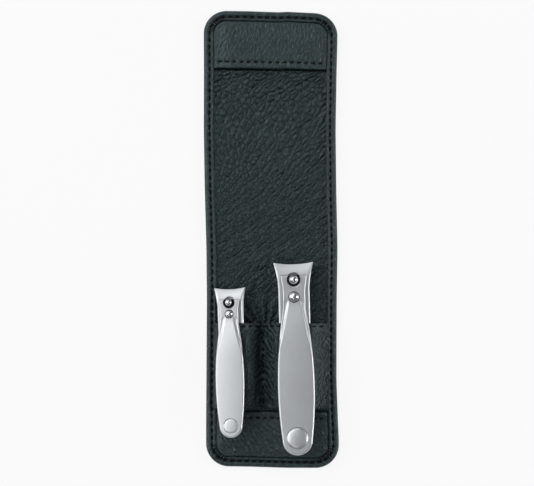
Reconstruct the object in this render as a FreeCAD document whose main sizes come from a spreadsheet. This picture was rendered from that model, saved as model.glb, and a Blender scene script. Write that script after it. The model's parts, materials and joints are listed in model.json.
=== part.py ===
import FreeCAD, Part
import collections
import math
import os
import Sketcher

# A leather travel case that lies open, with a small and a large nail clipper in its two pockets.
# X runs across the case, Y from the pockets to the flap, Z up; the origin is under the middle.
# Lengths are millimetres and angles are degrees.

os.makedirs("parts", exist_ok=True)
doc = FreeCAD.newDocument("travel_manicure_case")
sheet = doc.addObject("Spreadsheet::Sheet", "size")

CASE_SIZES = {
    "case_length": 190.0,
    "case_width": 55.0,
    "corner_radius": 9.5,
    "spine_width": 15.5,
    "fold_gap": 0.2,
    "cover_thickness": 1.0,
    "cover_wall": 1.0,
    "stiffener_thickness": 0.8,
    "lining_thickness": 0.8,
    "hem_thickness": 0.8,
    "hem_width": 4.2,
    "layer_clearance": 0.15,
    "overrun": 2.0,
    # Bands across the two ends, measured from the end of the case.
    "pocket_band_reach": 23.2,
    "pocket_band_thickness": 0.9,
    "closure_band_reach": 23.8,
    "closure_band_thickness": 0.9,
    "sleeve_wall": 2.0,
    "magnet_length": 32.0,
    "magnet_width": 9.0,
    "magnet_thickness": 1.2,
    "magnet_corner_radius": 2.0,
    "magnet_clearance": 0.15,
    # Front of the two pockets.
    "pocket_mouth_reach": 60.1,
    "pocket_thickness": 0.8,
    "pocket_clearance": 0.25,
    "pocket_seam_offset": 0.35,
    "pocket_seam_width": 2.0,
    # Stitches: half-round bars that lie on the leather.
    "stitch_pitch": 3.0,
    "stitch_length": 2.1,
    "stitch_width": 0.6,
    "stitch_seat": 0.03,
    "edge_stitch_inset": 2.4,
    "band_stitch_inset": 2.7,
    "pocket_stitch_inset": 1.4,
    # Fits that both clippers share.
    "rivet_fit": 0.05,
    "pin_clearance": 0.4,
    "leaf_clearance": 0.2,
    "fulcrum_clearance": 0.08,
}

# Each size of a clipper: the large one, then the small one.
# Lengths along a clipper are measured from the fulcrum, on which its lever rocks.
# The side reach is measured from the hem beside it, and the tail gap from the end of its pocket.
CLIPPER_SIZES = {
    "side_reach": (13.55, 7.0),
    "tail_gap": (0.5, 0.45),
    "base_gap": (0.3, 1.5),
    "yaw": (1.45, 1.7),
    "roll": (0.0, -8.0),
    "leaf_thickness": (1.6, 1.4),
    "tail_reach": (46.5, 39.5),
    "seat_length": (8.0, 7.0),
    "curl_reach": (7.0, 5.2),
    "edge_reach": (14.4, 10.9),
    "jaw_spread": (2.8, 2.2),
    "tip_gap": (1.2, 1.0),
    "tip_thickness": (0.4, 0.35),
    "body_width": (13.1, 10.4),
    "head_width": (16.4, 12.7),
    "neck_reach": (2.0, 1.2),
    "head_side": (0.4, 0.3),
    "flare_radius": (44.0, 39.0),
    "edge_dip": (0.8, 0.65),
    "tail_rivet_inset": (4.0, 3.5),
    "tail_rivet_diameter": (2.4, 2.0),
    "tail_rivet_head": (3.8, 3.2),
    "tail_rivet_dome": (0.25, 0.22),
    "pin_reach": (7.25, 4.8),
    "pin_diameter": (2.2, 1.7),
    "pin_ball": (3.6, 2.7),
    "pin_foot_diameter": (4.2, 3.4),
    "pin_foot_thickness": (0.6, 0.5),
    "dish_diameter": (5.2, 4.1),
    "lever_lift": (1.2, 1.5),
    "lever_thickness": (1.1, 1.0),
    "plateau_thickness": (0.5, 0.4),
    "plateau_inset": (0.9, 0.8),
    "plateau_start_width": (5.8, 4.1),
    "lever_front": (9.1, 6.1),
    "lever_front_width": (11.3, 9.0),
    "lever_waist_front": (3.0, 2.2),
    "lever_waist_back": (5.0, 4.0),
    "lever_waist_width": (9.6, 7.8),
    "lever_rise_start": (3.0, 2.4),
    "lever_knee_reach": (16.0, 12.0),
    "lever_knee_rise": (2.3, 1.9),
    "lever_wide_reach": (37.6, 28.0),
    "lever_wide_width": (15.4, 12.1),
    "lever_end_reach": (65.8, 51.4),
    "lever_end_radius": (6.3, 4.8),
    "lever_end_rise": (2.7, 2.3),
    "fulcrum_dome": (4.3, 3.3),
    "fulcrum_dome_height": (1.4, 1.1),
    "fulcrum_shank": (2.4, 1.9),
    "disc_inset": (7.05, 4.9),
    "disc_diameter": (8.8, 5.7),
    "disc_recess": (0.3, 0.25),
    "disc_rim": (0.1, 0.08),
    "disc_dome": (0.5, 0.35),
}
CLIPPERS = ("large", "small")

sizes = dict(CASE_SIZES)
for size_name, pair in CLIPPER_SIZES.items():
    for clipper, number in zip(CLIPPERS, pair):
        sizes[f"{clipper}_{size_name}"] = number
for row, (size_name, number) in enumerate(sizes.items(), start=1):
    sheet.set(f"A{row}", size_name)
    sheet.set(f"B{row}", str(number))
    sheet.setAlias(f"B{row}", size_name)
doc.recompute()

# How a sketch numbers the points of an edge and its own axes.
START, END, CENTRE = range(1, 4)
HORIZONTAL_AXIS, VERTICAL_AXIS = range(-1, -3, -1)
UP = FreeCAD.Vector(0, 0, 1)
ALONG = FreeCAD.Vector(0, 1, 0)
ACROSS = FreeCAD.Vector(1, 0, 0)
pieces = []

# A corner of an outline; radius and convex describe the edge that leaves it.
Corner = collections.namedtuple("Corner", "x y radius convex", defaults=(None, True))


def mm(expression):
    """Gives the value of an expression in the sheet's sizes."""
    return float(sheet.evalExpression(expression))


def own(clipper, text):
    """Writes an expression for one clipper: @name is that clipper's size."""
    return text.replace("@", f"size.{clipper}_")


def own_corners(clipper, corners):
    """Writes an outline for one clipper."""
    written = []
    for corner in corners:
        radius = corner.radius and own(clipper, corner.radius)
        written.append(Corner(own(clipper, corner.x), own(clipper, corner.y), radius, corner.convex))
    return written


def mirrored(right_side):
    """Closes an outline that starts on the Y axis with its own mirror image."""
    left_side = []
    for before, corner in zip(right_side[-2::-1], right_side[:0:-1]):
        left_side.append(Corner(f"-({corner.x})", corner.y, before.radius, before.convex))
    return right_side + left_side


def add_body(name):
    return doc.addObject("PartDesign::Body", name)


def add_sketch(body, plane_role, lift="0"):
    """Adds a sketch on one of the body's own planes, lifted along the plane's normal."""
    sketch = body.newObject("Sketcher::SketchObject", "sketch")
    plane = next(feature for feature in body.Origin.OriginFeatures if feature.Role == plane_role)
    sketch.AttachmentSupport = [(plane, "")]
    sketch.MapMode = "FlatFace"
    sketch.setExpression("AttachmentOffset.Base.z", lift)
    return sketch


def bind(sketch, constraint, expression):
    number = sketch.addConstraint(constraint)
    sketch.setExpression(f"Constraints[{number}]", expression)


def pin_point(sketch, geometry, point, x, y):
    """Holds a point of the sketch at a place given by two expressions."""
    for kind, axis, expression in (("DistanceX", VERTICAL_AXIS, x), ("DistanceY", HORIZONTAL_AXIS, y)):
        if expression == "0":
            sketch.addConstraint(Sketcher.Constraint("PointOnObject", geometry, point, axis))
        else:
            bind(sketch, Sketcher.Constraint(kind, geometry, point, mm(expression)), expression)


def arc_between(here, there, radius, convex):
    """Gives the shorter arc between two corners of an outline that runs anticlockwise."""
    chord = there - here
    inward = FreeCAD.Vector(-chord.y, chord.x, 0).normalize()
    side = 1 if convex else -1
    depth = math.sqrt(max(radius ** 2 - chord.Length ** 2 / 4, 0))
    centre = (here + there) * 0.5 + inward * (depth * side)
    first, last = (here, there) if convex else (there, here)
    angles = [math.atan2(end.y - centre.y, end.x - centre.x) for end in (first, last)]
    return Part.ArcOfCircle(Part.Circle(centre, UP, radius), *angles)


def draw_outline(sketch, corners):
    """Draws a closed outline and binds its corners and radii to the sheet."""
    places = [FreeCAD.Vector(mm(corner.x), mm(corner.y), 0) for corner in corners]
    edges = []
    for corner, here, there in zip(corners, places, places[1:] + places[:1]):
        if corner.radius is None:
            edges.append((sketch.addGeometry(Part.LineSegment(here, there)), START, END))
            continue
        radius = mm(corner.radius)
        arc = sketch.addGeometry(arc_between(here, there, radius, corner.convex))
        edges.append((arc, START, END) if corner.convex else (arc, END, START))
        bind(sketch, Sketcher.Constraint("Radius", arc, radius), corner.radius)
    for corner, before, after in zip(corners, edges[-1:] + edges[:-1], edges):
        sketch.addConstraint(Sketcher.Constraint("Coincident", before[0], before[2], after[0], after[1]))
        pin_point(sketch, after[0], after[1], corner.x, corner.y)


def draw_circle(sketch, y, radius):
    """Draws a circle on the sketch's vertical axis."""
    circle = Part.Circle(FreeCAD.Vector(0, mm(y), 0), UP, mm(radius))
    geometry = sketch.addGeometry(circle)
    pin_point(sketch, geometry, CENTRE, "0", y)
    bind(sketch, Sketcher.Constraint("Radius", geometry, mm(radius)), radius)


def add_pad(body, sketch, length, both_sides=False):
    pad = body.newObject("PartDesign::Pad", "pad")
    pad.Profile = sketch
    pad.setExpression("Length", length)
    if both_sides:
        pad.SideType = "Symmetric"
    doc.recompute()
    return pad


def add_pocket(body, sketch, length=None):
    """Cuts upwards from the sketch, by a length or through all, and makes sure that it cuts."""
    volume_before = body.Shape.Volume
    pocket = body.newObject("PartDesign::Pocket", "pocket")
    pocket.Profile = sketch
    pocket.Reversed = True
    if length is None:
        pocket.Type = "ThroughAll"
    else:
        pocket.setExpression("Length", length)
    doc.recompute()
    if not body.Shape.Volume < volume_before:
        raise RuntimeError(f"{body.Name}: a pocket cuts nothing")
    return pocket


def add_piece(piece, label, placement=None):
    """Names a finished sub-part and sets its place."""
    piece.Label = label
    piece.Placement = placement or FreeCAD.Placement()
    pieces.append(piece)


def plate(label, corners, lift, thickness, placement=None):
    """A flat piece of one thickness."""
    body = add_body(label)
    sketch = add_sketch(body, "XY_Plane", lift)
    draw_outline(sketch, corners)
    add_pad(body, sketch, thickness)
    add_piece(body, label, placement)
    return body


def turned(label, profile, placement):
    """A round piece whose profile, in radius and height, turns about its own Z axis."""
    body = add_body(label)
    sketch = add_sketch(body, "XZ_Plane")
    draw_outline(sketch, profile)
    revolution = body.newObject("PartDesign::Revolution", "revolution")
    revolution.Profile = sketch
    revolution.ReferenceAxis = (sketch, ["V_Axis"])
    doc.recompute()
    add_piece(body, label, placement)
    return body


# Heights of the layers above the table.
STIFFENER_BASE = "size.cover_thickness"
LINING_BASE = f"{STIFFENER_BASE} + size.stiffener_thickness"
LINING_TOP = f"{LINING_BASE} + size.lining_thickness"
HEM_TOP = f"{LINING_TOP} + size.hem_thickness"
BOARDS = "size.stiffener_thickness + size.lining_thickness"
PANEL_FOLD = "-(size.spine_width + size.fold_gap) / 2"
WINDOW_INSET = "size.hem_width"
LAYER_INSET = "size.cover_wall + size.layer_clearance"
BAND_INSET = "size.hem_width + size.layer_clearance"
UPPER_PLACE = FreeCAD.Placement(FreeCAD.Vector(), FreeCAD.Rotation(UP, 180))


def panel_outline(inset, inner_edge):
    """The rounded end of the case, drawn in by an inset, up to an edge across the case."""
    half = f"(size.case_width / 2 - ({inset}))"
    end = f"(size.case_length / 2 - ({inset}))"
    radius = f"(size.corner_radius - ({inset}))"
    return [
        Corner(f"-({half} - {radius})", f"-{end}"),
        Corner(f"{half} - {radius}", f"-{end}", radius),
        Corner(half, f"-({end} - {radius})"),
        Corner(half, inner_edge),
        Corner(f"-{half}", inner_edge),
        Corner(f"-{half}", f"-({end} - {radius})", radius),
    ]


def strip_outline(inset, half_length):
    """A rectangle across the middle of the case."""
    half = f"(size.case_width / 2 - ({inset}))"
    return [
        Corner(f"-{half}", f"-({half_length})"),
        Corner(half, f"-({half_length})"),
        Corner(half, half_length),
        Corner(f"-{half}", half_length),
    ]


def hollow_cover(label, outline, edge, placement=None):
    """Outer leather whose edge is turned over on to the lining; outline takes an inset and an edge."""
    body = add_body(label)
    sketch = add_sketch(body, "XY_Plane")
    draw_outline(sketch, outline("0", edge))
    add_pad(body, sketch, HEM_TOP)
    open_edge = f"{edge} + size.overrun"
    sketch = add_sketch(body, "XY_Plane", STIFFENER_BASE)
    draw_outline(sketch, outline("size.cover_wall", open_edge))
    add_pocket(body, sketch, BOARDS)
    sketch = add_sketch(body, "XY_Plane", LINING_TOP)
    draw_outline(sketch, outline(WINDOW_INSET, open_edge))
    add_pocket(body, sketch)
    add_piece(body, label, placement)


def case_half(side, placement):
    """Outer cover, board and lining of one half."""
    hollow_cover(f"outer_cover_{side}", panel_outline, PANEL_FOLD, placement)
    layer = panel_outline(LAYER_INSET, PANEL_FOLD)
    plate(f"stiffener_{side}", layer, STIFFENER_BASE, "size.stiffener_thickness", placement)
    plate(f"lining_{side}", layer, LINING_BASE, "size.lining_thickness", placement)


def case_spine():
    """The strip between the two folds."""
    half_length = "(size.spine_width - size.fold_gap) / 2"
    hollow_cover("outer_cover_spine", strip_outline, half_length)
    layer = strip_outline(LAYER_INSET, half_length)
    plate("stiffener_spine", layer, STIFFENER_BASE, "size.stiffener_thickness")
    plate("lining_spine", layer, LINING_BASE, "size.lining_thickness")


POCKET_BAND_EDGE = "-(size.case_length / 2 - size.pocket_band_reach)"
CLOSURE_BAND_EDGE = "-(size.case_length / 2 - size.closure_band_reach)"
SLEEVE_HEIGHT = "size.magnet_thickness + size.magnet_clearance"


def closure_band():
    """Leather band that makes a flat sleeve, open along one edge, over the closing magnet."""
    body = add_body("closure_band")
    sketch = add_sketch(body, "XY_Plane", LINING_TOP)
    draw_outline(sketch, panel_outline(BAND_INSET, CLOSURE_BAND_EDGE))
    add_pad(body, sketch, f"{SLEEVE_HEIGHT} + size.closure_band_thickness")
    sketch = add_sketch(body, "XY_Plane", LINING_TOP)
    sleeve = panel_outline(f"{BAND_INSET} + size.sleeve_wall", f"{CLOSURE_BAND_EDGE} + size.overrun")
    draw_outline(sketch, sleeve)
    add_pocket(body, sketch, SLEEVE_HEIGHT)
    add_piece(body, "closure_band", UPPER_PLACE)


def closure_magnet():
    """Flat magnet that lies on the lining, in the middle of the sleeve."""
    radius = "size.magnet_corner_radius"
    half = "size.magnet_length / 2"
    sleeve_end = f"(size.case_length / 2 - ({BAND_INSET}) - size.sleeve_wall)"
    middle = f"(({CLOSURE_BAND_EDGE}) - {sleeve_end}) / 2"
    low = f"{middle} - size.magnet_width / 2"
    high = f"{middle} + size.magnet_width / 2"
    corners = [
        Corner(f"-({half} - {radius})", low),
        Corner(f"{half} - {radius}", low, radius),
        Corner(half, f"{low} + {radius}"),
        Corner(half, f"{high} - {radius}", radius),
        Corner(f"{half} - {radius}", high),
        Corner(f"-({half} - {radius})", high, radius),
        Corner(f"-({half})", f"{high} - {radius}"),
        Corner(f"-({half})", f"{low} + {radius}", radius),
    ]
    plate("closure_magnet", corners, LINING_TOP, "size.magnet_thickness", UPPER_PLACE)


POCKET_END = f"({POCKET_BAND_EDGE} + size.pocket_thickness)"
FULCRUM_Y = f"({POCKET_END} + @tail_gap + @tail_reach)"
FULCRUM_X = {
    "large": "(size.case_width / 2 - size.hem_width - @side_reach)",
    "small": "-(size.case_width / 2 - size.hem_width - @side_reach)",
}


def clipper_place(clipper):
    """Where a clipper lies: its fulcrum over the lining, turned and leaned as it lies in the pocket."""
    base = FreeCAD.Vector(
        mm(own(clipper, FULCRUM_X[clipper])),
        mm(own(clipper, FULCRUM_Y)),
        mm(own(clipper, f"{LINING_TOP} + @base_gap")),
    )
    yaw = FreeCAD.Rotation(UP, mm(own(clipper, "@yaw")))
    roll = FreeCAD.Rotation(ALONG, mm(own(clipper, "@roll")))
    return FreeCAD.Placement(base, yaw * roll)


# Heights in a clipper, above the underside of its lower leaf.
LEAF_SLOPE = "(@jaw_spread / (@tail_reach - @seat_length + @curl_reach))"
JAW_TOP = f"(2 * @leaf_thickness + (@tail_reach - @seat_length) * {LEAF_SLOPE})"
LEVER_UNDER = f"({JAW_TOP} + @lever_lift)"
LEVER_TOP = f"({LEVER_UNDER} + @lever_thickness)"
LEVER_SLOPE = "(@lever_end_rise / (@lever_end_reach - @lever_knee_reach))"
# The back of each blade leaves its leaf level and curves to its edge.
BLADE_RUN = "(@edge_reach - @curl_reach)"
BLADE_TURN = "(@leaf_thickness + (@jaw_spread - @tip_gap) / 2 - @tip_thickness)"
BLADE_RADIUS = f"({BLADE_RUN} ^ 2 + {BLADE_TURN} ^ 2) / (2 * {BLADE_TURN})"


def jaw_outline():
    """A leaf from above: round tail, straight body, flared head and hollow cutting edge."""
    side = "@body_width / 2"
    edge_radius = "((@head_width / 2) ^ 2 + @edge_dip ^ 2) / (2 * @edge_dip)"
    return mirrored([
        Corner("0", "-@tail_reach", side),
        Corner(side, f"-(@tail_reach - {side})"),
        Corner(side, "@neck_reach", "@flare_radius", False),
        Corner("@head_width / 2", "@edge_reach - @head_side"),
        Corner("@head_width / 2", "@edge_reach", edge_radius, False),
    ])


def lever_outline(inset, waist):
    """The right side of the lever from above, drawn in by an inset, from its round tail to its waist."""
    end = f"(@lever_end_reach - {inset})"
    end_radius = f"(@lever_end_radius - {inset})"
    wide = f"(@lever_wide_width / 2 - {inset})"
    tail_turn = "(@lever_end_reach - @lever_end_radius)"
    tail_run = f"({tail_turn} - @lever_wide_reach)"
    tail_step = f"({wide} - {end_radius})"
    tail_radius = f"({tail_run} ^ 2 + {tail_step} ^ 2) / (2 * {tail_step})"
    arm_run = "(@lever_wide_reach - @lever_waist_back)"
    arm_step = f"({wide} - ({waist}))"
    arm_radius = f"({arm_run} ^ 2 + {arm_step} ^ 2) / (2 * {arm_step})"
    return [
        Corner("0", f"-{end}", end_radius),
        Corner(end_radius, f"-{tail_turn}", tail_radius),
        Corner(wide, "-@lever_wide_reach", arm_radius),
        Corner(waist, "-@lever_waist_back"),
    ]


def trimmed_strip(clipper, name, side_profile, outline, width):
    """A bent strip, padded across from its side profile and trimmed to its outline from above."""
    body = add_body(name)
    sketch = add_sketch(body, "YZ_Plane")
    draw_outline(sketch, own_corners(clipper, side_profile))
    add_pad(body, sketch, own(clipper, f"{width} + size.overrun"), both_sides=True)
    sketch = add_sketch(body, "XY_Plane")
    reach = "(@lever_end_reach + size.overrun)"
    half = f"({width} / 2 + size.overrun)"
    draw_outline(sketch, own_corners(clipper, [
        Corner(f"-{half}", f"-{reach}"),
        Corner(half, f"-{reach}"),
        Corner(half, reach),
        Corner(f"-{half}", reach),
    ]))
    draw_outline(sketch, own_corners(clipper, outline))
    add_pocket(body, sketch)
    return body


def drill(clipper, body, y, radius, length=None):
    """Drills up into a leaf from the level of its underside."""
    sketch = add_sketch(body, "XY_Plane")
    draw_circle(sketch, own(clipper, y), own(clipper, radius))
    add_pocket(body, sketch, length and own(clipper, length))


RIVET_Y = "-(@tail_reach - @tail_rivet_inset)"


def upper_jaw(clipper):
    """The leaf that carries the fulcrum: it rises from its seat at the tail and curls down to its edge."""
    bend = "-(@tail_reach - @seat_length)"
    tip = "@leaf_thickness + (@jaw_spread + @tip_gap) / 2"
    profile = [
        Corner("-@tail_reach", "@leaf_thickness"),
        Corner(bend, "@leaf_thickness"),
        Corner("@curl_reach", "@leaf_thickness + @jaw_spread"),
        Corner("@edge_reach", tip),
        Corner("@edge_reach", f"{tip} + @tip_thickness", BLADE_RADIUS),
        Corner("@curl_reach", "2 * @leaf_thickness + @jaw_spread"),
        Corner(bend, "2 * @leaf_thickness"),
        Corner("-@tail_reach", "2 * @leaf_thickness"),
    ]
    label = f"{clipper}_upper_jaw"
    body = trimmed_strip(clipper, label, profile, jaw_outline(), "@head_width")
    drill(clipper, body, "@pin_reach", "@pin_diameter / 2 + size.pin_clearance")
    drill(clipper, body, RIVET_Y, "@tail_rivet_diameter / 2 + size.rivet_fit")
    add_piece(body, label, clipper_place(clipper))


def lower_jaw(clipper):
    """The leaf that the pin pulls up: flat, and curled up to its edge."""
    tip = "@leaf_thickness + (@jaw_spread - @tip_gap) / 2"
    profile = [
        Corner("-@tail_reach", "0"),
        Corner("@curl_reach", "0", BLADE_RADIUS),
        Corner("@edge_reach", f"{tip} - @tip_thickness"),
        Corner("@edge_reach", tip),
        Corner("@curl_reach", "@leaf_thickness"),
        Corner("-@tail_reach", "@leaf_thickness"),
    ]
    label = f"{clipper}_lower_jaw"
    body = trimmed_strip(clipper, label, profile, jaw_outline(), "@head_width")
    drill(clipper, body, "@pin_reach", "@pin_diameter / 2 + size.rivet_fit")
    drill(clipper, body, "@pin_reach", "@pin_foot_diameter / 2 + size.rivet_fit", "@pin_foot_thickness")
    drill(clipper, body, RIVET_Y, "@tail_rivet_diameter / 2 + size.leaf_clearance")
    add_piece(body, label, clipper_place(clipper))


def tail_rivet(clipper):
    """Holds the two leaves together at the tail; its low dome lies on the upper leaf."""
    shank = "@tail_rivet_diameter / 2"
    head = "@tail_rivet_head / 2"
    top = "2 * @leaf_thickness"
    dome_radius = f"(({head}) ^ 2 + @tail_rivet_dome ^ 2) / (2 * @tail_rivet_dome)"
    profile = [
        Corner("0", "size.leaf_clearance"),
        Corner(shank, "size.leaf_clearance"),
        Corner(shank, top),
        Corner(head, top, dome_radius),
        Corner("0", f"{top} + @tail_rivet_dome"),
    ]
    at_rivet = FreeCAD.Placement(ALONG * mm(own(clipper, RIVET_Y)), FreeCAD.Rotation())
    turned(f"{clipper}_tail_rivet", own_corners(clipper, profile), clipper_place(clipper) * at_rivet)


def drive_pin(clipper):
    """Pin from the lower leaf through the upper one, with a ball head that lies in the lever's dish."""
    shank = "@pin_diameter / 2"
    foot = "@pin_foot_diameter / 2"
    ball = "@pin_ball / 2"
    middle = f"{LEVER_TOP} + size.pin_clearance"
    neck = f"{middle} - sqrt(({ball}) ^ 2 - ({shank}) ^ 2)"
    profile = [
        Corner("0", "0"),
        Corner(foot, "0"),
        Corner(foot, "@pin_foot_thickness"),
        Corner(shank, "@pin_foot_thickness"),
        Corner(shank, neck, ball),
        Corner("0", f"{middle} + {ball}"),
    ]
    at_pin = FreeCAD.Placement(ALONG * mm(own(clipper, "@pin_reach")), FreeCAD.Rotation())
    turned(f"{clipper}_drive_pin", own_corners(clipper, profile), clipper_place(clipper) * at_pin)


def fulcrum_rivet(clipper):
    """Rivet in the lever: the dome above shows, the dome below rocks on the upper leaf."""
    shank = "@fulcrum_shank / 2"
    head = "@fulcrum_dome / 2"
    foot_height = "(@lever_lift - size.fulcrum_clearance)"
    foot_radius = f"(({head}) ^ 2 + {foot_height} ^ 2) / (2 * {foot_height})"
    head_radius = f"(({head}) ^ 2 + @fulcrum_dome_height ^ 2) / (2 * @fulcrum_dome_height)"
    profile = [
        Corner("0", f"{JAW_TOP} + size.fulcrum_clearance", foot_radius),
        Corner(head, LEVER_UNDER),
        Corner(shank, LEVER_UNDER),
        Corner(shank, LEVER_TOP),
        Corner(head, LEVER_TOP, head_radius),
        Corner("0", f"{LEVER_TOP} + @fulcrum_dome_height"),
    ]
    turned(f"{clipper}_fulcrum_rivet", own_corners(clipper, profile), clipper_place(clipper))


def lever_profile(front, base, thickness):
    """The lever from the side: level over the fulcrum, up to the knee, then gently up to the tail."""
    rise = f"{base} + @lever_knee_rise"
    end_rise = f"{rise} + @lever_end_rise"
    under = [
        ("-@lever_end_reach", end_rise),
        ("-@lever_knee_reach", rise),
        ("-@lever_rise_start", base),
    ] + ([("@lever_front", base)] if front else [])
    corners = [Corner(y, height) for y, height in under]
    return corners + [Corner(y, f"{height} + {thickness}") for y, height in reversed(under)]


def disc_place(clipper):
    """Middle of the disc on the plateau of the lever's tail, square to it."""
    reach = "(@lever_end_reach - @disc_inset)"
    rise = own(clipper, f"({reach} - @lever_knee_reach) * {LEVER_SLOPE}")
    top = own(clipper, f"{LEVER_TOP} + @lever_knee_rise + @plateau_thickness")
    middle = FreeCAD.Vector(0, -mm(own(clipper, reach)), mm(top) + mm(rise))
    lean = -math.degrees(math.atan(mm(own(clipper, LEVER_SLOPE))))
    return FreeCAD.Placement(middle, FreeCAD.Rotation(ACROSS, lean))


def lever(clipper):
    """The pressed lever: a leaf-shaped plate with a raised plateau, a dished hole and a round recess."""
    waist = "@lever_waist_width / 2"
    outline = lever_outline("0", waist)
    outline.append(Corner(waist, "@lever_waist_front"))
    outline.append(Corner("@lever_front_width / 2", "@lever_front"))
    under = lever_profile(True, LEVER_UNDER, "@lever_thickness")
    base = trimmed_strip(clipper, f"{clipper}_lever_plate", under, mirrored(outline), "@lever_wide_width")

    raised_outline = lever_outline("@plateau_inset", "@plateau_start_width / 2")
    raised_side = lever_profile(False, LEVER_TOP, "@plateau_thickness")
    raised = trimmed_strip(
        clipper, f"{clipper}_lever_plateau", raised_side, mirrored(raised_outline), "@lever_wide_width"
    )
    plate_and_plateau = doc.addObject("Part::Fuse", f"{clipper}_lever_blank")
    plate_and_plateau.Base = base
    plate_and_plateau.Tool = raised

    dish = doc.addObject("Part::Cone", "dish")
    dish.setExpression("Radius1", own(clipper, "@pin_diameter / 2 + size.pin_clearance"))
    dish.setExpression("Radius2", own(clipper, "@dish_diameter / 2"))
    dish.setExpression("Height", own(clipper, "@lever_thickness"))
    dish.setExpression("Placement.Base.y", own(clipper, "@pin_reach"))
    dish.setExpression("Placement.Base.z", own(clipper, LEVER_UNDER))
    hole = doc.addObject("Part::Cylinder", "rivet_hole")
    hole.setExpression("Radius", own(clipper, "@fulcrum_shank / 2 + size.rivet_fit"))
    hole.setExpression("Height", own(clipper, "@lever_thickness"))
    hole.setExpression("Placement.Base.z", own(clipper, LEVER_UNDER))
    recess = doc.addObject("Part::Cylinder", "disc_recess")
    recess.setExpression("Radius", own(clipper, "@disc_diameter / 2 + size.rivet_fit"))
    recess.setExpression("Height", own(clipper, "@disc_recess + size.overrun"))
    down = FreeCAD.Placement(UP * -mm(own(clipper, "@disc_recess")), FreeCAD.Rotation())
    recess.Placement = disc_place(clipper) * down
    cuts = doc.addObject("Part::MultiFuse", "lever_cuts")
    cuts.Shapes = [dish, hole, recess]
    finished = doc.addObject("Part::Cut", f"{clipper}_lever")
    finished.Base = plate_and_plateau
    finished.Tool = cuts
    doc.recompute()
    add_piece(finished, f"{clipper}_lever", clipper_place(clipper))


def lever_disc(clipper):
    """Plain domed disc, let into the lever's tail."""
    radius = "@disc_diameter / 2"
    rise = "(@disc_dome - @disc_rim)"
    dome_radius = f"(({radius}) ^ 2 + {rise} ^ 2) / (2 * {rise})"
    profile = [
        Corner("0", "-@disc_recess"),
        Corner(radius, "-@disc_recess"),
        Corner(radius, "@disc_rim", dome_radius),
        Corner("0", "@disc_dome"),
    ]
    place = clipper_place(clipper) * disc_place(clipper)
    turned(f"{clipper}_lever_disc", own_corners(clipper, profile), place)


MOUTH_Y = "-(size.case_length / 2 - size.pocket_mouth_reach)"
POCKET_FOOT = f"(size.case_width / 2 - ({BAND_INSET}))"
FACING_SIDES = (
    own("small", f"({FULCRUM_X['small']} + @body_width / 2)"),
    own("large", f"({FULCRUM_X['large']} - @body_width / 2)"),
)
SEAM_X = f"({FACING_SIDES[0]} + {FACING_SIDES[1]}) / 2 + size.pocket_seam_offset"


def body_top(clipper, y):
    """Height of a clipper's upper leaf at a place along it, above the clipper's own base."""
    seat = mm(own(clipper, "2 * @leaf_thickness"))
    past_seat = y + mm(own(clipper, "@tail_reach - @seat_length"))
    return seat + max(past_seat, 0) * mm(own(clipper, LEAF_SLOPE))


def tunnel_corners(clipper, y, room):
    """Left and right upper corners, at a place along the case, of a tunnel that leaves room round a body."""
    place = clipper_place(clipper)
    along = y - place.Base.y
    side = mm(own(clipper, "@body_width / 2")) + room
    top = body_top(clipper, along) + room
    corners = [place.multVec(FreeCAD.Vector(across, along, top)) for across in (-side, side)]
    return [FreeCAD.Vector(corner.x, y, corner.z) for corner in corners]


def pocket_lines(y):
    """Outer and inner line of the pocket leather across the case, both from left to right."""
    foot = mm(POCKET_FOOT)
    floor = mm(LINING_TOP)
    leather = mm("size.pocket_thickness")
    seam = mm(SEAM_X)
    half_seam = mm("size.pocket_seam_width / 2")
    gap = mm("size.pocket_clearance")
    low = [FreeCAD.Vector(x, y, floor) for x in (-foot, foot)]
    valley = [FreeCAD.Vector(x, y, floor + leather) for x in (seam - half_seam, seam + half_seam)]
    outer = low[:1] + tunnel_corners("small", y, gap + leather) + valley
    outer += tunnel_corners("large", y, gap + leather) + low[1:]
    inner_low = [FreeCAD.Vector(x, y, floor) for x in (leather - foot, foot - leather)]
    inner_valley = [FreeCAD.Vector(corner.x, y, floor) for corner in valley]
    inner = inner_low[:1] + tunnel_corners("small", y, gap) + inner_valley
    inner += tunnel_corners("large", y, gap) + inner_low[1:]
    return outer, inner


def pocket_front():
    """Leather over the two bodies: open at its mouth, closed by a wall where it meets the band."""
    mouth = mm(MOUTH_Y)
    bottom = mm(POCKET_BAND_EDGE)
    wall_y = mm(POCKET_END)
    rings = []
    for y in (mouth, wall_y):
        outer, inner = pocket_lines(y)
        ring = outer + inner[::-1]
        rings.append(Part.makePolygon(ring + ring[:1]))
    sleeve = Part.makeLoft(rings, True, True)
    outer, inner = pocket_lines(wall_y)
    wall = Part.Face(Part.makePolygon(outer + outer[:1])).extrude(ALONG * (bottom - wall_y))
    piece = doc.addObject("Part::Feature", "pocket_front")
    piece.Shape = sleeve.fuse(wall).removeSplitter()
    add_piece(piece, "pocket_front")


def stitch_bar():
    """One stitch: a half-round bar along X whose flat face is at the origin's height."""
    radius = mm("size.stitch_width / 2")
    half = mm("size.stitch_length / 2")
    left, right, crown = (FreeCAD.Vector(-half, *place) for place in ((-radius, 0), (radius, 0), (0, radius)))
    section = Part.Wire([Part.Arc(left, crown, right).toShape(), Part.makeLine(right, left)])
    return Part.Face(section).extrude(ACROSS * (2 * half))


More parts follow.
